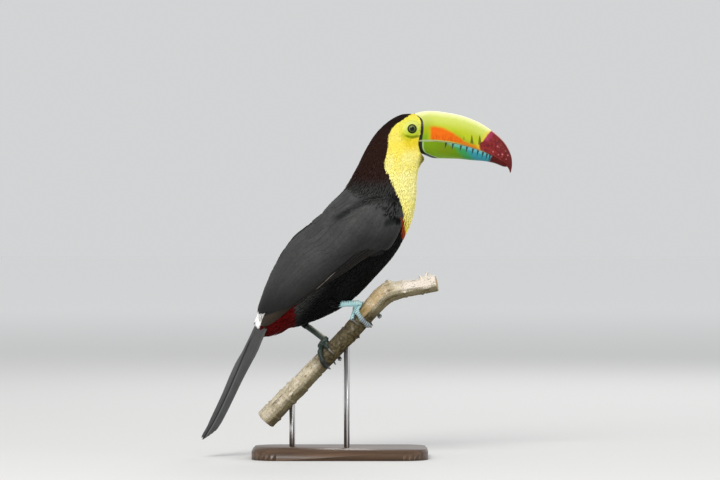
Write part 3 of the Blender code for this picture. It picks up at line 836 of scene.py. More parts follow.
def spread_out(hide, density, seed):
    """Faces for the roots of feathers, evenly spread by area at so many a square millimetre."""
    chance = np.random.default_rng(seed)
    cell = ((hide.centres - hide.centres.min(0)) / CELL).astype(np.int64)
    order = np.zeros(len(cell), np.int64)
    for bit in range(CELL_BITS):
        for axis in range(3):
            order |= ((cell[:, axis] >> bit) & 1) << (3 * bit + axis)
    along = np.argsort(order, kind="stable")
    total = np.cumsum((hide.areas * density)[along])
    count = int(total[-1])
    marks = (np.arange(count) + chance.uniform(0.15, 0.85, count)) * total[-1] / count
    return along[np.minimum(np.searchsorted(total, marks), len(along) - 1)]


# --- feather shapes

UV_PATCH = 0.003  # the side of each feather's square on the unwrap

# A tuft's outline: how far along it each station lies, and the share of its half width.
BLADE = [(0.0, 0.45), (0.38, 1.0), (0.78, 0.8), (1.0, 0.12)]

# The ring round a tuft: across (-1 to 1), and height as a share of its thickness.
BLADE_RING = [(-1.0, 0.0), (0.0, 1.0), (1.0, 0.0), (0.0, -0.5)]
ROOT_SINK = 0.3  # how far a tuft's root lies under the skin


def loft_faces(count, stations, ring):
    """The quads of many lofts at once, with their ends fanned into quads."""
    index = np.arange(stations * ring).reshape(stations, ring)
    after = np.roll(index, -1, axis=1)
    faces = np.stack([index[:-1], index[1:], after[1:], after[:-1]], -1).reshape(-1, 4)
    half = ring // 2
    ends = []
    for end, turn in ((0, 1), (stations - 1, -1)):
        for step in range(half - 1):
            quad = [index[end, k % ring] for k in (step, step + 1, ring - 2 - step, ring - 1 - step)]
            ends.append(quad[::turn])
    faces = np.concatenate([faces, np.array(ends)])
    return (faces[None] + (np.arange(count) * stations * ring)[:, None, None]).reshape(-1, 4)


def feather_mesh(name, points, along, across, lengths, spots, tints, patches, slot, paint, nodes=()):
    """One joined mesh of many feathers.

    points: (feathers, stations, ring, 3) in millimetres; along (0 to 1) and across (-1 to 1): where
    each point lies on its feather; spots: where each feather's marking is read; patches: its place
    on the unwrap.
    """
    count, stations, ring = points.shape[:3]
    faces = loft_faces(count, stations, ring)
    mesh = bpy.data.meshes.new(name)
    mesh.vertices.add(count * stations * ring)
    mesh.vertices.foreach_set("co", (points * MM).astype(np.float32).ravel())
    mesh.loops.add(len(faces) * 4)
    mesh.loops.foreach_set("vertex_index", faces.astype(np.int32).ravel())
    mesh.polygons.add(len(faces))
    mesh.polygons.foreach_set("loop_start", np.arange(0, len(faces) * 4, 4, dtype=np.int32))
    mesh.update(calc_edges=True)
    mesh.shade_smooth()
    shape = (count, stations, ring)
    along, across = np.broadcast_to(along, shape), np.broadcast_to(across, shape)
    to_tip = (1 - along) * lengths[:, None, None]
    for key, values in (("to_tip", to_tip), ("across", across), ("tint", tints[:, None, None])):
        layer = mesh.attributes.new(key, "FLOAT", "POINT")
        layer.data.foreach_set("value", np.broadcast_to(values, shape).astype(np.float32).ravel())
    layer = mesh.attributes.new("spot", "FLOAT_VECTOR", "POINT")
    spots = np.broadcast_to(spots[:, None, None], (*shape, 3))
    layer.data.foreach_set("vector", spots.astype(np.float32).ravel())
    corner = patches[:, None, None] + np.stack([across, along * 2 - 1], -1) * UV_PATCH / 2
    layer = mesh.uv_layers.new(name="OFBake")
    layer.data.foreach_set("uv", corner.reshape(-1, 2)[faces.ravel()].astype(np.float32).ravel())
    piece = bpy.data.objects.new(name, mesh)
    bpy.context.scene.collection.objects.link(piece)
    return finish_piece(piece, paint, slot, *nodes)


def unwrap(sections, angles):
    """Places on an unwrap of the body: round it, and along it."""
    round_it = (angles / math.pi + 1.0) / 2
    return np.stack([round_it, sections / LAST_SECTION], -1) * (1 - UV_PATCH) + UV_PATCH / 2


def lay_tufts(hide, faces, length, half, proud, seed):
    """Follows the skin from each root; gives points, along, across, lengths, spots, tints, patches."""
    chance = np.random.default_rng(seed)
    count = len(faces)
    along, width = np.array(BLADE).T
    across, height = np.array(BLADE_RING).T
    length = length * chance.normal(1.0, 0.12, count).clip(0.7, 1.35)
    swing = np.radians(chance.normal(0.0, 5.0, count))[:, None]
    place, faces = hide.nearest(hide.centres[faces] + chance.uniform(-0.5, 0.5, (count, 3)))
    patches = unwrap(hide.sections[faces], hide.angles[faces])
    path, normals = [], []
    for gap in np.diff(along, prepend=0.0):
        if path:
            place, faces = hide.nearest(place + ahead * (gap * length[:, None]))
        flow, normal = hide.flow[faces], hide.normals[faces]
        ahead = units(flow * np.cos(swing) + np.cross(normal, flow) * np.sin(swing))
        path.append(place)
        normals.append(normal)
    path, normal = np.stack(path, 1), units(np.stack(normals, 1))
    side = units(np.cross(normal, units(np.gradient(path, axis=1))))
    lift = (proud * chance.uniform(0.92, 1.08, count))[:, None] * along - ROOT_SINK * (1 - along)
    tilt = chance.normal(0.0, 0.05, count)[:, None, None]
    half_at = ((half * chance.uniform(0.85, 1.15, count))[:, None] * width)[..., None]
    sideways = half_at * across
    out = lift[..., None] + height * np.minimum(0.2 * half_at, 0.25)
    out = out + (tilt - 0.18 * across) * sideways
    points = path[:, :, None] + side[:, :, None] * sideways[..., None]
    points = points + normal[:, :, None] * out[..., None]
    spots = path[:, 0] * 0.45 + path[:, -1] * 0.55
    shape = points.shape[:3]
    along, across = np.broadcast_to(along[:, None], shape), np.broadcast_to(across, shape)
    return points, along, across, length, spots, chance.uniform(0, 1, count), patches


# The ground that the wings' own feathers cover: section, then the shares down the side between.
WING_EDGES = [
    (0.55, 0.20, 0.50), (0.8, 0.14, 0.55), (1.4, 0.08, 0.60), (2.0, 0.05, 0.64), (2.6, 0.04, 0.63),
    (3.1, 0.04, 0.615), (3.8, 0.04, 0.645), (4.35, 0.05, 0.68), (4.8, 0.08, 0.725), (5.2, 0.12, 0.76),
    (5.8, 0.18, 0.90), (6.4, 0.26, 0.875), (6.9, 0.32, 0.84), (7.3, 0.38, 0.80), (7.7, 0.50, 0.76),
]


def is_wing(hide):
    """Faces under the folded wings' own feathers."""
    share = (1 - np.cos(hide.angles)) / 2
    line = np.array(WING_EDGES)
    upper = np.interp(hide.sections, line[:, 0], line[:, 1])
    lower = np.interp(hide.sections, line[:, 0], line[:, 2])
    inside = (hide.sections > line[0, 0]) & (hide.sections < line[-1, 0])
    return inside & (share > upper) & (share < lower)


def coat_plan(hide):
    """Each face's feather length, half width, how proud the tips stand, how many, and if yellow."""
    x, _, z = hide.centres.T
    heights = [150, 290, 325, 345, 375, 400]
    length = np.interp(z, heights, [11.5, 11.0, 9.5, 7.5, 5.6, 5.0])
    half = length * np.interp(z, heights, [0.085, 0.085, 0.09, 0.11, 0.13, 0.13])
    yellow = ramp(x - np.interp(z, *np.array(BIB_EDGE).T), -3.0, 2.0)
    thighs = np.any([hide.in_thigh(side, 1.0) for side in SIDES], axis=0)
    # Where the feathers differ (bib, face, round the eyes, vent, thighs): how much shorter, narrower.
    for share, shorter, narrower in (
        (yellow, 0.22, 0.12),
        (ramp(z, 352.0, 372.0) * ramp(x, 52.0, 80.0), 0.25, 0.1),
        (ramp(eye_gap(hide.centres), 22.0, 12.0), 0.35, 0.2),
        (ramp(x, -48.0, -60.0), -0.25, 0.0),
        (thighs, 0.3, 0.2),
    ):
        length, half = length * (1 - shorter * share), half * (1 - narrower * share)
    proud = np.interp(length, [3, 6, 11.5, 15], [0.4, 0.75, 1.4, 1.8])
    proud += np.interp(hide.sections, [7.2, 7.7, 8.6, 9.6], [0.0, 1.5, 1.3, 0.0]) * (1 - yellow)
    mantle = np.interp(hide.sections, [7.2, 8.0, 8.8, 9.8], [0, 1, 1, 0])
    length = length * (1 + 0.35 * mantle * (1 - yellow))
    layers = np.interp(z, [290, 345, 400], [3.0, 3.4, 3.6])
    stump = (hide.sections < 0.42) & (np.abs(hide.angles) < 1.9)
    bare = is_wing(hide) | stump | (eye_gap(hide.centres) <= BARE_RING)
    density = layers / (length * 2 * half * 0.75) * ~bare
    return length, half, proud, density, yellow > 0.5


# The heights from which feathers belong to the neck, the face and the crown.
NECK_BASE, FACE_BASE, CROWN_BASE = 318.0, 356.0, 366.0
# Where each kind of loose or small feather starts its own random draws.
TUFT_SEED, TROUSERS_SEED, RUMP_SEED = SEED + 20, SEED + 60, SEED + 70


def make_coat(hide):
    """Tufts and small feathers everywhere but on the folded wings and round the eyes."""
    length, half, proud, density, yellow = coat_plan(hide)
    _, y, z = hide.centres.T
    right, neck = y < 0, ~yellow & (z > NECK_BASE)
    body = ~yellow & ~neck
    groups = (
        ("face_feathers_right", "head_plumage", yellow & (z > FACE_BASE) & right),
        ("face_feathers_left", "head_plumage", yellow & (z > FACE_BASE) & ~right),
        ("bib_feathers", "neck_plumage", yellow & (z <= FACE_BASE)),
        ("crown_feathers", "head_plumage", neck & (z > CROWN_BASE)),
        ("nape_feathers", "neck_plumage", neck & (z <= CROWN_BASE)),
        ("body_feathers_right", "body_plumage", body & right),
        ("body_feathers_left", "body_plumage", body & ~right),
    )
    paint = feather_material("plumage")
    make_trousers(paint)
    make_rump(paint)
    for number, (name, slot, where) in enumerate(groups):
        faces = spread_out(hide, density * where, SEED + number)
        laid = lay_tufts(hide, faces, length[faces], half[faces], proud[faces], TUFT_SEED + number)
        clear = eye_gap(laid[0][:, :, 1]).min(axis=1) > BARE_RING - 1.2
        feather_mesh(name, *(values[clear] for values in laid), slot, paint)


def bowed(start, middle, end, t):
    """Places at t (0 to 1) on a smooth bow from start over middle to end."""
    pull = 2 * middle - (start + end) / 2
    return start * (1 - t) ** 2 + 2 * pull * t * (1 - t) + end * t**2


def loose_tufts(name, slot, paint, start, middle, end, out, half, spots, chance):
    """Tufts that leave the skin: each on a smooth bow from its start over its middle to its end."""
    t, width = np.array(BLADE).T
    u, height = np.array(BLADE_RING).T
    path = bowed(start[:, None], middle[:, None], end[:, None], t[:, None])
    side = units(np.cross(units(np.gradient(path, axis=1)), out[:, None]))
    half_at = half * width[:, None]
    points = path[:, :, None] + side[:, :, None] * (half_at * u)[..., None]
    points = points + out[:, None, None] * (half_at * height * 0.25)[..., None]
    lengths = np.linalg.norm(end - start, axis=1)
    tints, patches = chance.uniform(0, 1, len(start)), unwrap(*find_sections(start))
    feather_mesh(name, points, t[:, None], u, lengths, spots, tints, patches, slot, paint)


def make_trousers(paint):
    """Short feathers round each ankle, from inside the thigh down over the top of the shank."""
    chance = np.random.default_rng(TROUSERS_SEED)
    count = 170
    for side in SIDES:
        ankle, _, _, down = leg(side)
        across = units(np.cross(down, [0.0, 1.0, 0.0]))
        turn = chance.uniform(0, 2 * math.pi, count)[:, None]
        out = across * np.cos(turn) + np.cross(down, across) * np.sin(turn)
        length = chance.uniform(7.5, 11.0, (count, 1))
        start = ankle - down * chance.uniform(3.6, 11.0, (count, 1))
        start = start + out * chance.uniform(1.8, 3.8, (count, 1))
        middle = start + down * length / 2 + out * 0.5
        loose_tufts("trousers_" + side, "leg_plumage", paint, start, middle, start + down * length,
                    out, 0.95, start, chance)


RUMP_FALL, RUMP_HALF = 0.42, 13.4  # how far its edges fall away, as a share of its half width


def rump_fall(sideways):
    """How far the root of the tail falls away at a distance from its middle."""
    return RUMP_FALL * sideways**2 / RUMP_HALF


def make_rump(paint):
    """White feathers from the rump over the root of the tail, all on one smooth lie."""
    chance = np.random.default_rng(RUMP_SEED)
    count = 1500
    along, _, upper, right = tail_axes()
    root = np.array(TAIL_ROOT)
    angles = np.radians(chance.uniform(-70.0, 78.0, count))
    share = -np.sin(angles)
    high, low = (squeeze(body_places(np.full(count, at), angles) * MM) / MM for at in (1.25, 0.1))
    out = units(low - rings_at(np.full(count, 0.1))[0])
    across = right * (share * 12.8)[:, None] - upper * (rump_fall(share * 12.8) - 2.2)[:, None]
    guides = []
    for place, depth, back in ((high, 1.8, -9.0), (low, 1.0, 1.5)):
        place = place - out * depth
        over_tail = root + along * back + across
        part = ramp(((over_tail - place) * upper).sum(-1), 0.0, 3.0)[:, None]
        guides.append(place + (over_tail - place) * part)
    reach, sideways = 12.0 - 4.5 * share, share * 13.2
    rise = 1.6 - rump_fall(sideways)
    guides.append(root + along * reach[:, None] + right * sideways[:, None] + upper * rise[:, None])
    begin = chance.uniform(0.0, 0.66, count)[:, None]
    steps = ((0.0, -0.4), (0.17, 0.3), (0.34, 0.7))
    points = [bowed(*guides, begin + step) + out * lift for step, lift in steps]
    spots = np.stack([np.full(count, -96.0), share, np.full(count, 174.0)], 1)
    loose_tufts("rump_feathers", "body_plumage", paint, *points, out, 1.0, spots, chance)


def feather_material(name):
    """The plumage: the bird's markings, with their painted light and shade, read at each feather's own
    spot, with its vane and barbs.
    """
    paint = Paint(name, roughness=0.6, specular_ior_level=0.06)
    to_tip, across, tint = (paint.attribute(name) for name in ("to_tip", "across", "tint"))
    colour, bib = plumage_colour(paint, paint.attribute("spot", "Vector"))
    shade = 1.04 + tint * 0.10 - paint.step(to_tip, 2, 8) * 0.16
    edge = paint.step(abs(across), 0.7, 1) * 0.12
    paint.set("Roughness", 0.42 + bib * 0.25 + tint * 0.08)
    return paint.done(paint.scaled(colour, shade + edge * (1 - bib)))


# --- wings and the tail

RAY_START, RAY_REACH = 26.0, 60.0  # how far outside the body the rays start, and how long they are
GRID_SECTIONS = np.linspace(0.0, 9.0, 217)
GRID_ANGLES = np.radians(np.linspace(-20.0, 175.0, 196))


def share_to_angle(share):
    """The angle round the body at a share of the way down its side; negative beyond the back."""
    share = np.asarray(share, float)
    return np.sign(share) * np.arccos(np.clip(1 - 2 * np.abs(share), -1.0, 1.0))


class Flank:
    """The left side as a grid over section and angle, found by rays on to the skin."""

    def __init__(self, hide):
        sections, angles = np.meshgrid(GRID_SECTIONS, GRID_ANGLES, indexing="ij")
        base = body_places(sections, angles)
        inwards = -units(base - rings_at(sections)[0])
        start = base - inwards * RAY_START
        depth = np.full(sections.shape, RAY_START)
        for index in np.ndindex(*sections.shape):
            hit = hide.tree.ray_cast(Vector(start[index] * MM), Vector(inwards[index]), RAY_REACH * MM)
            if hit[0] is not None:
                depth[index] = hit[3] / MM
        depth = spread(depth, 2, np.min)
        depth = spread(spread(depth, 2, np.mean), 2, np.mean)
        self.places = start + inwards * depth[..., None]
        self.normals = units(np.cross(*(np.gradient(self.places, axis=axis) for axis in (0, 1))))
        dips = 0.0
        for line, deep, wide in ((MANTLE_CREASE, 1.9, 4.5), (SHOULDER_CREASE, 1.3, 3.5)):
            dips = dips + deep * np.exp(-((line_gap(self.places, line) / wide) ** 2))
        self.places = self.places - self.normals * dips[..., None]

    def read(self, grid, rows):
        """A grid's values between its points; rows are (section, angle)."""
        row = np.interp(rows[..., 0], GRID_SECTIONS, np.arange(len(GRID_SECTIONS)))
        column = np.interp(rows[..., 1], GRID_ANGLES, np.arange(len(GRID_ANGLES)))
        i = np.minimum(row.astype(int), len(GRID_SECTIONS) - 2)
        j = np.minimum(column.astype(int), len(GRID_ANGLES) - 2)
        a, b = (row - i)[..., None], (column - j)[..., None]
        near = grid[i, j] * (1 - b) + grid[i, j + 1] * b
        far = grid[i + 1, j] * (1 - b) + grid[i + 1, j + 1] * b
        return near * (1 - a) + far * a


def spread(values, reach, how):
    """Takes each value's neighbours within reach on both axes together, by how."""
    for axis in (0, 1):
        last = values.shape[axis] - 1
        near = [np.clip(np.arange(last + 1) + k, 0, last) for k in range(-reach, reach + 1)]
        values = how([values.take(rows, axis) for rows in near], axis=0)
    return values


VANE_STATIONS = np.concatenate([np.linspace(0, 0.88, 22), [0.915, 0.945, 0.97, 0.988, 1.0]])
VANE_TOP = np.array([-1.0, -0.96, -0.75, -0.5, -0.25, 0.0, 0.25, 0.5, 0.75, 0.96, 1.0])


def vane_outline(stations, tip):
    """Half width along a long feather: narrow at the root, even, and rounded over its tip's share."""
    root = 0.55 + 0.45 * np.sin(np.clip(stations / 0.35, 0, 1) * math.pi / 2)
    end = np.clip((stations - (1 - tip)) / tip, 0, 1)
    return root * np.sqrt(np.clip(1 - end**2.4, 0.0025, 1))


def vane_ring(crown, shaft, thickness):
    """The ring round a long feather: across it (-1 to 1), and height, with its shaft standing up."""
    under = VANE_TOP[-2:0:-1]
    top = crown * (1 - VANE_TOP**2) + shaft * np.exp(-((VANE_TOP / 0.09) ** 2))
    below = crown * (1 - under**2) - thickness
    return np.concatenate([VANE_TOP, under]), np.concatenate([top, below])


def lay_vanes(flank, roots, tips, half, lift, tilt, bend, sink, seed):
    """Long feathers on the flank from roots to tips, both (section, share) rows.

    lift is (at the root, at the tip), tilt how far the lower edge stands up and the upper down,
    bend how far the feather swings round the body on its way, and sink how far its tip dips.
    """
    chance = np.random.default_rng(seed)
    count = len(roots)
    start, end = (np.stack([rows[:, 0], share_to_angle(rows[:, 1])], 1) for rows in (roots, tips))
    end = end + chance.normal(0, 1, (count, 2)) * (0.035, 0.006)
    t = VANE_STATIONS
    line = start[:, None] * (1 - t)[:, None] + end[:, None] * t[:, None]
    line[..., 1] += bend * np.sin(t * math.pi)
    place, normal = (flank.read(grid, line) for grid in (flank.places, flank.normals))
    side = units(np.cross(units(np.gradient(place, axis=1)), normal))
    small = 0.04
    along_s, along_a = (
        (flank.read(flank.places, line + step) - flank.read(flank.places, line - step)) / (2 * small)
        for step in np.eye(2) * small
    )
    ss, sa, aa = (along_s**2).sum(-1), (along_s * along_a).sum(-1), (along_a**2).sum(-1)
    bs, ba = (along_s * side).sum(-1), (along_a * side).sum(-1)
    scale = np.maximum(ss * aa - sa**2, 1e-6)
    per_mm = np.stack([(bs * aa - ba * sa) / scale, (ba * ss - bs * sa) / scale], -1)
    outline = vane_outline(t, tip=0.22)[:, None]
    across, height = vane_ring(crown=0.06, shaft=0.05, thickness=0.2)
    spot = line[:, :, None] + per_mm[:, :, None] * (half * outline * across)[..., None]
    body, out = (flank.read(grid, spot) for grid in (flank.places, flank.normals))
    out = units(out + normal[:, :, None])
    rise = (lift[0] + (lift[1] - lift[0]) * t - sink * ramp(t, 0.8, 1.0))[:, None]
    rise = rise + height * np.minimum(half * outline / 2.0, 1.0) + tilt * across * outline
    points = body + out * rise[..., None]
    shape = points.shape[:3]
    along, across = np.broadcast_to(t[:, None], shape), np.broadcast_to(across, shape)
    lengths = np.linalg.norm(place[:, -1] - place[:, 0], axis=-1)
    spots = place[:, 0] * 0.4 + place[:, -1] * 0.6
    return points, along, across, lengths, spots, chance.uniform(0, 1, count), unwrap(*start.T)


def between(line, count):
    """Evenly spaced rows along a line of rows."""
    line = np.asarray(line, float)
    return read_table(line, np.linspace(0, len(line) - 1.0, count))


# Each tract of the wing, the lowest first: name, feathers, root line, tip line (section, share
# down the side; from the belly edge up to the back), half width, lift at root and tip, tilt, bend.
TRACTS = [
    ("primaries", 10, [(6.2, 0.80), (5.9, 0.72), (5.4, 0.60)],
     [(2.0, 0.56), (1.5, 0.55), (1.0, 0.54), (0.52, 0.50), (0.40, 0.36)], 5.6, (0.2, 0.9), 0.40, -0.12),
    ("secondaries", 13, [(6.2, 0.66), (5.9, 0.50), (5.6, 0.30), (5.4, 0.10)],
     [(2.05, 0.52), (1.28, 0.41), (0.80, 0.25), (0.58, 0.12), (0.60, 0.03)],
     8.2, (0.8, 1.7), 0.26, -0.06),
    ("greater_coverts", 13, [(6.9, 0.74), (6.5, 0.56), (6.1, 0.38), (5.8, 0.14)],
     [(4.9, 0.57), (4.3, 0.50), (3.8, 0.34), (3.5, 0.10)], 6.6, (1.3, 1.95), 0.28, 0.0),
    ("bend_coverts", 8, [(7.5, 0.80), (7.2, 0.74), (6.8, 0.68)],
     [(5.95, 0.865), (5.75, 0.79), (5.4, 0.69)], 5.2, (1.0, 2.0), 0.25, 0.0),
    ("median_coverts", 14, [(7.7, 0.78), (7.2, 0.60), (6.8, 0.40), (6.5, 0.20)],
     [(6.35, 0.83), (5.6, 0.66), (5.1, 0.44), (4.8, 0.20)], 5.8, (1.1, 2.2), 0.25, 0.0),
    ("lesser_coverts_c", 15, [(7.9, 0.78), (7.7, 0.60), (7.4, 0.42), (7.1, 0.24)],
     [(6.9, 0.80), (6.4, 0.64), (6.0, 0.44), (5.7, 0.24)], 4.8, (1.1, 2.3), 0.22, 0.0),
    ("lesser_coverts_b", 15, [(8.15, 0.74), (8.0, 0.60), (7.8, 0.44), (7.6, 0.30)],
     [(7.4, 0.76), (7.05, 0.63), (6.7, 0.46), (6.4, 0.28)], 4.2, (0.7, 2.3), 0.2, 0.0),
    ("lesser_coverts_a", 14, [(8.4, 0.70), (8.3, 0.60), (8.15, 0.46), (8.0, 0.36)],
     [(7.8, 0.73), (7.6, 0.62), (7.3, 0.48), (7.05, 0.34)], 3.8, (-0.8, 2.1), 0.2, 0.0),
    ("scapulars_c", 9, [(6.9, 0.34), (6.4, 0.18), (6.2, 0.03)],
     [(5.2, 0.24), (4.3, 0.14), (4.0, 0.02)], 6.4, (1.2, 2.3), 0.3, 0.0),
    ("scapulars_b", 9, [(7.7, 0.38), (7.3, 0.22), (7.1, 0.05)],
     [(6.2, 0.31), (5.4, 0.18), (5.1, 0.03)], 6.0, (0.8, 2.4), 0.3, 0.0),
    ("scapulars_a", 9, [(8.4, 0.42), (8.1, 0.24), (7.9, 0.05)],
     [(7.1, 0.37), (6.4, 0.22), (6.1, 0.03)], 5.4, (-0.8, 2.2), 0.25, 0.0),
]
# Creases where one tract folds under another, as lines forward and up; the flank dips along them, and
# the wing's material paints shade along them.
MANTLE_CREASE = [
    (-8.0, 286.0), (0.0, 289.0), (6.2, 293.0), (18.1, 301.0), (30.0, 306.5), (42.0, 311.5),
    (50.0, 317.0),
]
SHOULDER_CREASE = [(52.5, 278.8), (62.1, 283.0), (71.1, 283.8)]


def line_gap(places, line):
    """How far each place is, seen from the side, from a line of (forward, up) points."""
    line = np.array(line)
    gaps = []
    for start, end in zip(line[:-1], line[1:]):
        way, off = end - start, places[..., ::2] - start
        share = np.clip((off * way).sum(-1) / (way @ way), 0.0, 1.0)
        gaps.append(np.linalg.norm(off - share[..., None] * way, axis=-1))
    return np.min(gaps, axis=0)


def make_wings(hide):
    """Every tract's feathers, laid on the left flank and mirrored on to the right."""
    flank = Flank(hide)
    paint = wing_material()
    tracts = []
    for number, (_, count, roots, tips, *lie) in enumerate(TRACTS):
        sink = 0.15 if number < 2 else 0.55
        roots, tips = between(roots, count), between(tips, count)
        tracts.append(lay_vanes(flank, roots, tips, *lie, sink, SEED + number))
    joined = [np.concatenate(values) for values in zip(*tracts)]
    for side, sign in SIDES.items():
        points, along, across, lengths, spots, tints, patches = joined
        if sign > 0:
            points, across = points[:, :, ::-1], across[:, :, ::-1]
        else:
            points, spots = points * (1.0, -1.0, 1.0), spots * (1.0, -1.0, 1.0)
            patches = patches * (-1.0, 1.0) + (1.0, 0.0)
        feather_mesh("wing_feathers_" + side, points, along, across, lengths, spots, tints, patches,
                     "wing_plumage", paint)


# Where the secondaries' lower edge lies over the primaries: distance forward, and height.
FOLD_LINE = [
    (-110.0, 164.0), (-90.2, 170.6), (-77.1, 175.4), (-59.3, 182.5), (-47.4, 190.8),
    (-35.5, 200.3), (-26.0, 207.5), (-7.4, 224.4), (7.3, 236.0), (22.6, 247.2), (38.3, 250.5),
    (57.0, 240.0), (80.0, 236.0),
]


def vane_base(name, value):
    """A slate-black vane: barbs run out from the shaft, which is darker."""
    paint = Paint(name, specular_ior_level=0.12)
    to_tip, across = paint.attribute("to_tip"), abs(paint.attribute("across"))
    tint = paint.attribute("tint")
    place = paint.place()
    barbs = (to_tip * 7 - across * 26).math("SINE") * 0.5 + 0.5
    dark, light = value * 0.72, value * 1.22
    clouds = paint.noise(place, 0.09)
    colour = paint.mix(clouds, (dark, dark, dark * 1.02), (light, light * 1.02, light))
    colour = paint.scaled(colour, 0.90 + tint * 0.2)
    colour = paint.mix(paint.step(across, 0.10, 0.03) * 0.25, colour, (dark * 0.5,) * 3)
    paint.set("Roughness", 0.42 + barbs * 0.12 + tint * 0.08)
    paint.bump(barbs, 0.15, 0.00012)
    return paint, colour, place, across, to_tip


def wing_material():
    """Wing vanes: painted shade darkens them down the wing, at the shoulder and towards the tail,
    leaving the mantle and coverts palest; brown at the long tips.
    """
    value = 0.045
    paint, colour, place, across, to_tip = vane_base("flight_plumage", value)
    x, _, z = paint.axes(place)
    mottle = paint.noise(place, 0.34) + paint.noise(paint.stretched(place, (1, 1, 0.35)), 0.9, 2)
    below = paint.curve(x, FOLD_LINE) - z
    # painted shade: darker down the wing towards the fold, at the shoulder and towards the tail
    body_shade = 1.16 - paint.step(below, -46, -1) * 0.80 - paint.step(x, 44, 62) * 0.38
    streaks = (paint.attribute("across") * 30 + paint.attribute("tint") * 6).math("SINE")
    for shade in (
        0.40 + mottle * 0.62,
        body_shade.math("MAXIMUM", 0.2) * (1 - paint.step(x, -30, -96) * 0.22),
        1 + streaks * 0.17,
    ):
        colour = paint.scaled(colour, shade)
    primaries = paint.step(below, -0.5, 1.5) * paint.step(x, 48, 30)
    edge = (paint.step(across, 0.93, 1) + paint.step(to_tip, 1.2, 0.3)).math("MINIMUM", 1)
    edge_colour = paint.mix(primaries, (value * 1.7, value * 1.65, value * 1.55), (0.11, 0.09, 0.07))
    shaft = paint.beside(below, 3.4, 0.6, 0.2) * paint.span(x, -30, -24, -9, -4)
    # painted shade along the creases where one tract folds under another
    crease_shadows = []
    for line, ends in ((MANTLE_CREASE, (-14, 0, 46, 56)), (SHOULDER_CREASE, (50, 56, 70, 74))):
        off = abs(z - paint.curve(x, line)) + (mottle - 1) * 1.2
        crease_shadows.append((paint.step(off, 7, 1) * paint.span(x, *ends) * 0.86, (0.006, 0.007, 0.007)))
    return paint.done(paint.layers(
        colour,
        (primaries * 0.92, (0.003, 0.003, 0.003)),
        (primaries * paint.step(x, -48, -82) * 0.9, (0.046, 0.033, 0.024)),
        (edge * (0.24 + primaries * 0.26), edge_colour),
        (shaft * 0.7, (0.30, 0.25, 0.21)),
        *crease_shadows,
    ))


TAIL_ROOT, TAIL_TIP = Vector((-94.0, 0.0, 172.0)), Vector((-166.6, 0.0, 22.4))
TAIL_ROLL = math.radians(27.0)
# Share of the length, half width, fall of the edges as a share of it, and the ridge's bow.
TAIL = [
    (0.00, 13.0, 0.46, 0.0), (0.12, 14.5, 0.40, 0.4), (0.25, 17.5, 0.27, 1.4), (0.38, 18.8, 0.10, 2.5),
    (0.50, 18.2, 0.04, 3.4), (0.65, 17.4, 0.03, 4.2), (0.80, 16.8, 0.03, 4.2), (0.90, 15.4, 0.03, 3.4),
    (1.00, 13.4, 0.03, 0.6),
]
# How far down the tail each feather reaches, from the middle one outwards.
TAIL_REACH = (1.0, 0.985, 0.965, 0.94, 0.91)
TAIL_LINE = [
    (16.0, -168.0), (30.6, -159.4), (42.6, -152.2), (71.4, -138.0), (101.4, -124.8),
    (132.6, -111.6), (165.0, -97.0),
]


def tail_axes():
    """The tail's own directions: to its tip, up from that, out of its upper face, and to its right."""
    along = np.array((TAIL_TIP - TAIL_ROOT).normalized())
    to_right = np.array([0.0, -1.0, 0.0])
    upright = np.cross(along, to_right)
    upper = upright * math.cos(TAIL_ROLL) + to_right * math.sin(TAIL_ROLL)
    return along, upright, upper, np.cross(upper, along)


def make_tail():
    """Ten long feathers, the middle pair on top, each a little lower and further out."""
    along, upright, upper, right = tail_axes()
    length = (TAIL_TIP - TAIL_ROOT).length
    t = np.concatenate([np.linspace(0.0, 0.9, 15), [0.935, 0.965, 0.985, 1.0]])
    chance = np.random.default_rng(SEED)
    across, height = vane_ring(crown=0.5, shaft=0.2, thickness=0.45)
    outline = vane_outline(t, tip=0.10)
    outline = np.where(t < 0.5, np.maximum(outline, 0.9), outline)
    feathers = []
    for pair, reach in enumerate(TAIL_REACH):
        for left in (False, True):
            share = t * (reach - 0.006 * left)
            widest, fall, ridge = read_columns(TAIL, share)
            half = widest * (0.31 if pair == 0 else 0.27) * outline
            sideways = (0.24 + 0.12 * pair) * widest
            if left:
                pinch = np.exp(-(((share - 0.38) / 0.2) ** 2))
                sideways = 0.8 - sideways - 0.038 * pair * widest * pinch
            else:
                sideways = 1.2 + sideways
            sideways = sideways[:, None] + half[:, None] * across
            rise = 0.9 - pair * 0.5 - 0.9 * left + height * np.minimum(half / 3.0, 1.0)[:, None]
            rise = rise - fall[:, None] * sideways**2 / widest[:, None]
            base = np.array(TAIL_ROOT) + along * (share * length)[:, None] - upright * ridge[:, None]
            feathers.append(base[:, None] + right * sideways[..., None] + upper * rise[..., None])
    points = np.stack(feathers)
    count = len(points)
    patches = np.stack([0.3 + 0.04 * np.arange(count), np.full(count, 0.01)], 1)
    feather_mesh("tail_feathers", points, t[:, None], across, np.full(count, length), points[:, 8, 4],
                 chance.uniform(0, 1, count), patches, "tail_plumage", tail_material(), ("tail",))


def read_columns(table, shares):
    """The other columns of a table at places along its first one."""
    table = np.array(table)
    return [np.interp(shares, table[:, 0], column) for column in table.T[1:]]


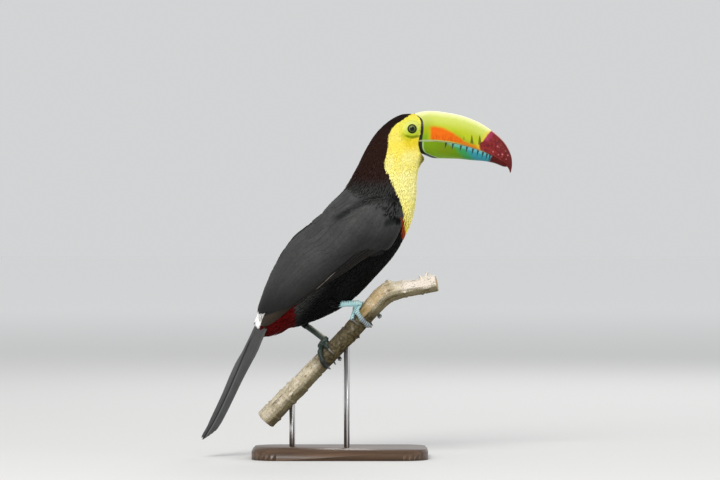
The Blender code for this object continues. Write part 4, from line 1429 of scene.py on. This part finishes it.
def tail_material():
    """Slate vanes, with a painted shadow line where the middle pair overlap, a painted highlight beside
    it, and painted light on the far half that gives way to painted shade towards the tip.
    """
    paint, colour, place, _, _ = vane_base("tail_vanes", 0.054)
    x, _, z = paint.axes(place)
    off = x - paint.curve(z, TAIL_LINE)
    colour = paint.layers(
        colour,
        # painted light on the far half, and a painted highlight beside the dark line
        (paint.step(off, 0, -2.5) * 0.25, (0.12, 0.122, 0.12)),
        (paint.beside(off, 2.1, 1.2, 0.4) * paint.step(z, 130, 90) * 0.45, (0.12, 0.125, 0.125)),
    )
    # painted shade that darkens the far half towards the tip
    far_half_shade = 1.32 - paint.step(z, 150, 40) * 0.52
    colour = paint.scaled(colour, far_half_shade + (1.25 - far_half_shade) * paint.step(off, -0.3, 0.8))
    # a painted shadow line where the middle pair overlap
    line = paint.beside(off, 0.3, 1.25, 0.5) * paint.step(z, 150, 135)
    return paint.done(paint.mix(line, colour, (0.006, 0.006, 0.006)))


# --- perch, feet and stand

# The perch from its low end: x, y, z and radius.
PERCH = [
    (-90.0, 20.0, 44.0, 12.4),
    (-65.4, 15.0, 69.4, 11.7),
    (-43.0, 11.0, 92.8, 11.3),
    (-14.6, 6.0, 122.0, 10.9),
    (7.0, 2.0, 144.8, 10.8),
    (30.0, -3.0, 170.0, 11.0),
    (44.6, -6.0, 187.4, 12.0),
    (57.0, -8.0, 197.8, 12.6),
    (72.0, -10.0, 201.4, 10.8),
    (90.0, -12.0, 204.0, 10.0),
    (116.0, -15.0, 209.4, 9.8),
]
PERCH_STEPS = read_table(PERCH, np.linspace(0, len(PERCH) - 1.0, 400))
PERCH_ALONG = units(np.gradient(PERCH_STEPS[:, :3], axis=0))
PERCH_OUT = units(np.cross(PERCH_ALONG, [0.0, 1.0, 0.0]))
PERCH_NEAR = np.cross(PERCH_ALONG, PERCH_OUT)
PERCH_GAPS = np.linalg.norm(np.diff(PERCH_STEPS[:, :3], axis=0), axis=1)
PERCH_REACH = np.concatenate([[0.0], np.cumsum(PERCH_GAPS)])


def round_perch(places):
    """Each place's distance along the perch, angle round it, distance off its middle, nearest step."""
    near = np.linalg.norm(places[:, None] - PERCH_STEPS[None, :, :3], axis=-1).argmin(axis=1)
    across = places - PERCH_STEPS[near, :3]
    out, side = (across * PERCH_OUT[near]).sum(-1), (across * PERCH_NEAR[near]).sum(-1)
    along = PERCH_REACH[near] + (across * PERCH_ALONG[near]).sum(-1)
    return along, np.arctan2(side, out), np.hypot(out, side), near


def rumple(places):
    """Smooth noise, about -1 to 1, at places given in the noise's own scale."""
    return np.array([noise.noise(Vector(place)) for place in places.tolist()])


def set_value(mesh, name, values):
    """Gives a mesh one value a vertex, for its material to read."""
    mesh.attributes.new(name, "FLOAT", "POINT").data.foreach_set("value", values.astype(np.float32))


# Old leaf scars that ring the perch, by distance along it; and buds and stubs on it: distance
# along, angle round it, length, radius, and lean along the perch.
SCARS = (14.0, 40.0, 61.0, 88.0, 148.0, 216.0, 236.0, 258.0)
BUDS = [
    (221.0, -5.0, 5.0, 3.2, -0.9), (217.0, 20.0, 4.5, 2.6, 0.4), (263.0, 0.0, 7.0, 2.2, 0.5),
    (258.0, 15.0, 5.5, 2.4, -0.3), (268.0, -20.0, 5.0, 1.9, 0.2), (74.0, 75.0, 1.8, 2.2, 0.1),
    (50.0, -10.0, 2.2, 2.4, 0.5), (46.0, 95.0, 1.6, 2.6, 0.0), (30.0, 60.0, 1.6, 2.2, 0.3),
    (152.0, 175.0, 3.0, 2.4, -0.4), (236.0, 110.0, 1.6, 2.2, 0.0), (18.0, 8.0, 2.0, 2.2, 0.3),
]
GRIPS = {"right": 178.0, "left": 116.0}  # where each foot holds the perch, by distance along it


def leg(side):
    """A leg's ankle, the perch's middle at its foot, the way out of the perch there, the way down."""
    step = np.searchsorted(PERCH_REACH, GRIPS[side])
    ankle, grip = np.array(THIGHS[side][0]), PERCH_STEPS[step, :3]
    return ankle, grip, PERCH_OUT[step], units(grip - ankle)


def make_perch():
    """The cut length of branch: ridged bark, leaf scars, buds, and sawn ends."""
    perch = solid_copy("perch")
    parts = [perch]
    for along, turn, length, radius, lean in BUDS:
        spot = np.searchsorted(PERCH_REACH, along)
        turn = math.radians(turn)
        out = PERCH_OUT[spot] * math.cos(turn) + PERCH_NEAR[spot] * math.sin(turn)
        way = Vector(units(out + PERCH_ALONG[spot] * lean))
        centre = PERCH_STEPS[spot, :3] + out * (PERCH_STEPS[spot, 3] - 1.5)
        bpy.ops.mesh.primitive_cone_add(
            vertices=14, radius1=radius * MM, radius2=radius * 0.35 * MM, depth=(length + 3.0) * MM,
            location=Vector(centre) * MM + way * length / 2 * MM,
            rotation=way.to_track_quat("Z", "Y").to_euler(),
        )
        parts.append(bpy.context.object)
    only(*parts)
    bpy.ops.object.join()
    modify(perch, "REMESH", mode="VOXEL", voxel_size=0.8 * MM)
    modify(perch, "SMOOTH", factor=0.5, iterations=5)
    places = coordinates(perch.data) / MM
    normals = coordinates(perch.data, "vertices", "normal")
    along, turn, _, near = round_perch(places)
    ring = np.stack([np.cos(turn), np.sin(turn)], 1)
    furrows = rumple(np.column_stack([ring * 3.2, along * 0.05]))
    knobs = rumple(np.column_stack([ring * 1.5, along * 0.09 + 40.0]))
    grain = rumple(np.column_stack([ring * 9.0, along * 0.35]))
    rise = 0.55 * furrows + 0.9 * knobs + 0.30 * grain
    for scar in SCARS:
        off = along - scar - 1.6 * np.cos(turn + scar)
        rise += 0.75 * np.exp(-((off / 1.5) ** 2)) - 0.45 * np.exp(-(((off - 2.6) / 1.1) ** 2))
    ends = np.abs((normals * PERCH_ALONG[near]).sum(-1)) > 0.8
    for grip in GRIPS.values():
        held = ramp(np.abs(along - grip), 24.0, 14.0)
        rise = rise * (1 - held) + np.minimum(rise, 0.1) * 0.6 * held
    move_vertices(perch.data, (places + normals * (rise * ~ends)[:, None]) * MM)
    perch.data.shade_smooth()
    set_value(perch.data, "along", along)
    set_value(perch.data, "under", -(normals * PERCH_OUT[near]).sum(-1))
    set_value(perch.data, "hollow", furrows + grain * 0.6)
    perch.name = "branch"
    finish_piece(perch, bark_material(), "bark", "perch")


def bark_material():
    """Pale bark with painted shade below, mottled brown bark under a painted shadow of the bird between
    the feet, painted light on the upper end, lichen, specks and a sawn end.
    """
    paint = Paint("rough_bark", specular_ior_level=0.25)
    place = paint.place()
    along, under, hollow = (paint.attribute(name) for name in ("along", "under", "hollow"))
    clouds, fine = paint.noise(place, 0.07, 4), paint.noise(place, 0.8, 5, 0.7)
    specks, blotches = paint.noise(place, 0.62, 4), paint.noise(place, 0.30, 5, 0.65)
    shaded = paint.step(under + (clouds - 0.5) * 0.9 + (specks - 0.5) * 0.6, -0.20, 0.50)
    # mottled brown bark between the feet, darkened by a painted shadow of the bird
    brown = paint.span(along, 84, 106, 178, 196)
    mottled = paint.mix(paint.step(blotches, 0.42, 0.60), (0.018, 0.014, 0.004), (0.100, 0.074, 0.030))
    warm = paint.span(along, 166, 178, 208, 226) * paint.step(shaded, 0.6, 0.1)
    lichen = paint.step(paint.noise(place, 0.16, 5, 0.65), 0.56, 0.64)
    lichen = lichen * (1 - shaded) * (1 - brown * 0.8)
    off_middle = paint.distance(place, tuple(PERCH_STEPS[-1, :3].tolist()))
    sawn = paint.beside(along, float(PERCH_REACH[-1]), 0.7, 0.35) * paint.step(off_middle, 9.6, 9)
    rings = (off_middle * 4.6 + specks * 3).math("SINE") * 0.5 + 0.5
    paint.set("Roughness", 0.78 + fine * 0.2)
    paint.bump(fine + specks, 0.6, 0.0006)
    return paint.done(paint.layers(
        paint.mix(paint.step(clouds, 0.35, 0.65), (0.48, 0.41, 0.28), (0.70, 0.62, 0.47)),
        (shaded * 0.85, (0.105, 0.085, 0.030)),
        (brown * 0.92, mottled),
        (warm * 0.6, (0.50, 0.33, 0.13)),
        # the paler upper end: pale bark with painted light on its lit side
        (paint.step(along, 226, 242) * (1 - shaded) * 0.8, (0.88, 0.80, 0.71)),
        (lichen * 0.6, (0.88, 0.82, 0.70)),
        (paint.step(fine, 0.52, 0.66) * 0.75, (0.060, 0.043, 0.018)),
        (paint.step(hollow, -0.25, -0.9) * 0.7, (0.05, 0.036, 0.014)),
        (sawn, paint.mix(rings, (0.56, 0.41, 0.22), (0.42, 0.28, 0.13))),
    ))


SCUTE, KNUCKLE = 2.2, 10.5  # the spacing of the scutes on a toe, and of its knuckles
TOES = (1, 2, 3, 4)
REAR_TOES = {3: 28.0, 4: 34.0}  # how much further round the rear toes wrap, in degrees


def reach_round(piece, more):
    """Wraps a rear toe, or its claw, so many degrees further round the perch."""
    along, turn, away, near = round_perch(coordinates(piece.data) / MM)
    turn = np.where(turn > math.pi / 2, turn - 2 * math.pi, turn)
    turn = turn - math.radians(more) * ramp(-np.degrees(turn), 60.0, 130.0)
    out = PERCH_OUT[near] * np.cos(turn)[:, None] + PERCH_NEAR[near] * np.sin(turn)[:, None]
    middle = PERCH_STEPS[near, :3] + PERCH_ALONG[near] * (along - PERCH_REACH[near])[:, None]
    move_vertices(piece.data, (middle + out * away[:, None]) * MM)


def rough_foot(side):
    """A shank and its toes joined into one."""
    parts = [solid_copy("shank_" + side)] + [solid_copy(f"toe_{side}_{n}") for n in TOES]
    for piece in parts:
        modify(piece, "DISPLACE", strength=0.3 * MM, mid_level=0.0)
    for n, more in REAR_TOES.items():
        modify(parts[n], "SUBSURF", levels=1, render_levels=1, subdivision_type="SIMPLE")
        reach_round(parts[n], more)
    only(*parts)
    bpy.ops.object.join()
    foot = bpy.context.object
    modify(foot, "REMESH", mode="VOXEL", voxel_size=0.42 * MM)
    modify(foot, "SMOOTH", factor=0.5, iterations=8)
    return foot


def make_foot(side):
    """One foot: scutes down the front of the shank and over the toes, knuckles, and soles."""
    foot = rough_foot(side)
    ankle, grip, up, down = leg(side)
    places = coordinates(foot.data) / MM
    past = (places - ankle) @ down
    axis = ankle + past[:, None] * down
    places = axis + (places - axis) * (0.3 + 0.7 * ramp(past, -2.0, 7.0))[:, None]
    normals = coordinates(foot.data, "vertices", "normal")
    _, turn, away, near = round_perch(places)
    turn, radius = np.abs(turn), PERCH_STEPS[near, 3]
    off = away - radius
    shank = ramp(off, 6.5, 9.0)
    counted = np.where(shank > 0.5, (places - ankle) @ down, turn * (radius + 3.0))
    spacing = np.where(shank > 0.5, SCUTE * 1.5, SCUTE)
    across = np.abs(np.sin(counted * math.pi / spacing + rumple(places * 0.35) * 0.5))
    facing = normals @ units(np.cross(down, [0.0, 1.0, 0.0]))
    toes = 1 - shank
    top = np.maximum(ramp(off, 1.6, 3.6) * toes, shank * ramp(facing, -0.6, 0.4) * 0.75)
    rise = (np.sqrt(across) - 0.75) * 0.26 * top - 0.15
    rise += 0.5 * np.cos(counted * 2 * math.pi / KNUCKLE) * toes * top
    rise += 0.7 * ramp(np.degrees(turn), 60.0, 110.0) * toes * ramp(off, 1.0, 2.5)
    move_vertices(foot.data, (places + normals * rise[:, None]) * MM)
    foot.data.shade_smooth()
    joint = np.linalg.norm(places - (grip + up * 15.0), axis=1)
    for name, values in (
        ("scute", across * top + (1 - top) * 0.6),
        ("shank", shank),
        ("joint", ramp(joint, 9.0, 4.0)),
        ("high", ramp(np.degrees(turn), 95.0, 40.0)),
        ("front", ramp(facing, 0.25, 0.65) * shank),
    ):
        set_value(foot.data, name, values)
    foot.name = "foot_" + side
    nodes = [f"toe_{side}_{n}" for n in TOES] + ["shank_" + side]
    finish_piece(foot, foot_material(side), "foot_skin", *nodes)


def make_feet():
    """Each shank and its toes as one scaly piece, and the claws apart."""
    for side in SIDES:
        make_foot(side)
        for n in TOES:
            claw = solid_copy(f"claw_{side}_{n}")
            if n in REAR_TOES:
                reach_round(claw, REAR_TOES[n])
            modify(claw, "REMESH", mode="VOXEL", voxel_size=0.22 * MM)
            modify(claw, "SMOOTH", factor=0.5, iterations=6)
            claw.data.shade_smooth()
            claw.name = f"talon_{side}_{n}"
            finish_piece(claw, claw_material(side, n), "claw_horn", f"claw_{side}_{n}")


def foot_material(side):
    """Blue shanks and grey toes with painted highlights on the scute tops and knuckles; painted shade
    darkens the left foot, with a painted highlight down the front of its shank.
    """
    paint = Paint("foot_" + side, roughness=0.5, specular_ior_level=0.4)
    place = paint.place()
    names = ("scute", "shank", "high", "joint", "front")
    scute, shank, high, joint, front = (paint.attribute(name) for name in names)
    grey = paint.noise(place, 0.35)
    toes = paint.mix(grey, (0.05, 0.065, 0.075), (0.22, 0.26, 0.28))
    blue = paint.mix(grey, (0.27, 0.52, 0.56), (0.46, 0.72, 0.72))
    hollows = paint.step(paint.noise(place, 0.28), 0.50, 0.60) * joint
    pale = paint.step(paint.noise(place, 0.2), 0.50, 0.62) * shank
    colour = paint.layers(
        paint.mix(shank.math("MAXIMUM", high), toes, blue),
        # painted highlights on the scute tops and at the knuckle where the toes meet the shank
        (paint.step(scute, 0.7, 1) * 0.35, (0.66, 0.70, 0.68)),
        (joint * 0.6, (0.62, 0.68, 0.64)),
        (hollows * 0.7, (0.05, 0.10, 0.15)),
        (pale * 0.6, (0.62, 0.72, 0.66)),
        (paint.step(scute, 0.5, 0.1) * 0.75, (0.045, 0.085, 0.11)),
    )
    if side == "left":
        # painted shade darkens the left foot, and a painted highlight runs down the front of its shank
        colour = paint.mix(1, colour, (0.055, 0.065, 0.05), "MULTIPLY")
        colour = paint.mix(front * 0.85, colour, (0.46, 0.47, 0.36))
    paint.bump(paint.cells(place, 1.6), 0.3, 0.0002)
    return paint.done(colour)


def claw_material(side, number):
    """Dark, glossy horn."""
    paint = Paint(f"claw_{side}_{number}", roughness=0.3, coat_weight=0.3)
    clouds = paint.noise(paint.place(), 0.9)
    return paint.done(paint.mix(clouds, (0.07, 0.065, 0.06), (0.20, 0.19, 0.17)))


def make_stand():
    """The base and its two rods, with rounded shading and a finish each."""
    nodes = ("stand_base", "stand_rod_low", "stand_rod_high")
    wood, steel = (wood_material(), "stand_wood"), (steel_material(), "stand_steel")
    for node, (paint, slot) in zip(nodes, (wood, steel, steel)):
        piece = solid_copy(node)
        only(piece)
        bpy.ops.object.shade_smooth_by_angle(angle=math.radians(32))
        piece.name = node.replace("stand_", "mount_")
        finish_piece(piece, paint, slot, node)


def wood_material():
    """Dark oiled wood with its grain along the base."""
    paint = Paint("oiled_walnut", coat_weight=0.25, coat_roughness=0.25)
    place = paint.place()
    grain = paint.noise(paint.stretched(place, (0.012, 0.16, 0.16)), 1, 5, 0.6)
    pores = paint.noise(paint.stretched(place, (0.08, 1.6, 1.6)), 1)
    colour = paint.mix(paint.step(grain, 0.3, 0.7), (0.050, 0.026, 0.013), (0.125, 0.066, 0.032))
    paint.set("Roughness", 0.30 + pores * 0.22)
    paint.bump(pores, 0.12, 0.0003)
    return paint.done(paint.mix(paint.step(pores, 0.58, 0.72) * 0.6, colour, (0.022, 0.012, 0.007)))


def steel_material():
    """Steel brushed along the rods."""
    paint = Paint("brushed_steel", metallic=1)
    brush = paint.noise(paint.stretched(paint.place(), (6, 6, 0.25)), 1)
    paint.set("Roughness", 0.26 + brush * 0.16)
    return paint.done(paint.mix(brush, (0.50, 0.50, 0.51), (0.66, 0.66, 0.66)))


# --- stage and camera

VIEW_DISTANCE = 4.0
VIEW_CENTRE = Vector((0.024, 0.0, 0.261))
VIEW_WIDTH = 0.864
FLOOR_SIZE = 160.0


def make_camera():
    """A camera square on to the bird's right side."""
    data = bpy.data.cameras.new("camera")
    data.sensor_width = 36.0
    data.lens = data.sensor_width * VIEW_DISTANCE / VIEW_WIDTH
    data.clip_end = 50.0
    camera = bpy.data.objects.new("camera", data)
    bpy.context.scene.collection.objects.link(camera)
    camera.location = VIEW_CENTRE + Vector((0, -VIEW_DISTANCE, 0))
    camera.rotation_euler = (math.radians(90), 0, 0)
    bpy.context.scene.camera = camera


def make_light(name, place, size, power, colour):
    """A round area light that faces the bird."""
    data = bpy.data.lights.new(name, "AREA")
    data.shape = "DISK"
    data.size, data.energy, data.color = size, power, colour
    lamp = bpy.data.objects.new(name, data)
    bpy.context.scene.collection.objects.link(lamp)
    lamp.location = place
    lamp.rotation_euler = (VIEW_CENTRE - Vector(place)).to_track_quat("-Z", "Y").to_euler()


def make_stage():
    """Three lights, a pale backdrop and a floor that fades into it."""
    make_light("key_light", (-0.8, -2.5, 2.3), 1.5, 66.0, (1.0, 0.98, 0.95))
    make_light("fill_light", (2.2, -1.4, 1.0), 1.8, 9.0, (0.93, 0.96, 1.0))
    make_light("rim_light", (0.6, 2.0, 1.9), 1.4, 16.0, (1.0, 1.0, 1.0))
    world = bpy.data.worlds.new("studio")
    bpy.context.scene.world = world
    world.use_nodes = True
    backdrop = world.node_tree.nodes["Background"]
    backdrop.inputs["Color"].default_value = (0.90, 0.91, 0.92, 1.0)
    backdrop.inputs["Strength"].default_value = 0.72
    bpy.context.scene.view_settings.view_transform = "Standard"
    bpy.ops.mesh.primitive_plane_add(size=FLOOR_SIZE)
    floor = bpy.context.object
    floor.name = "floor"
    paint = Paint("floor_paint", roughness=0.95, specular_ior_level=0.1)
    far = paint.step(paint.distance(paint.place(), (0, 0, 0)), 500, 9000)
    paint.set("Base Color", paint.mix(far, (0.70, 0.70, 0.69), (0.99, 0.99, 0.99)))
    floor.data.materials.append(paint.material)


def main():
    make_camera()
    make_stage()
    hide = Hide(make_skin())
    make_coat(hide)
    make_wings(hide)
    make_tail()
    make_bill()
    make_eyes()
    make_perch()
    make_feet()
    make_stand()


main()
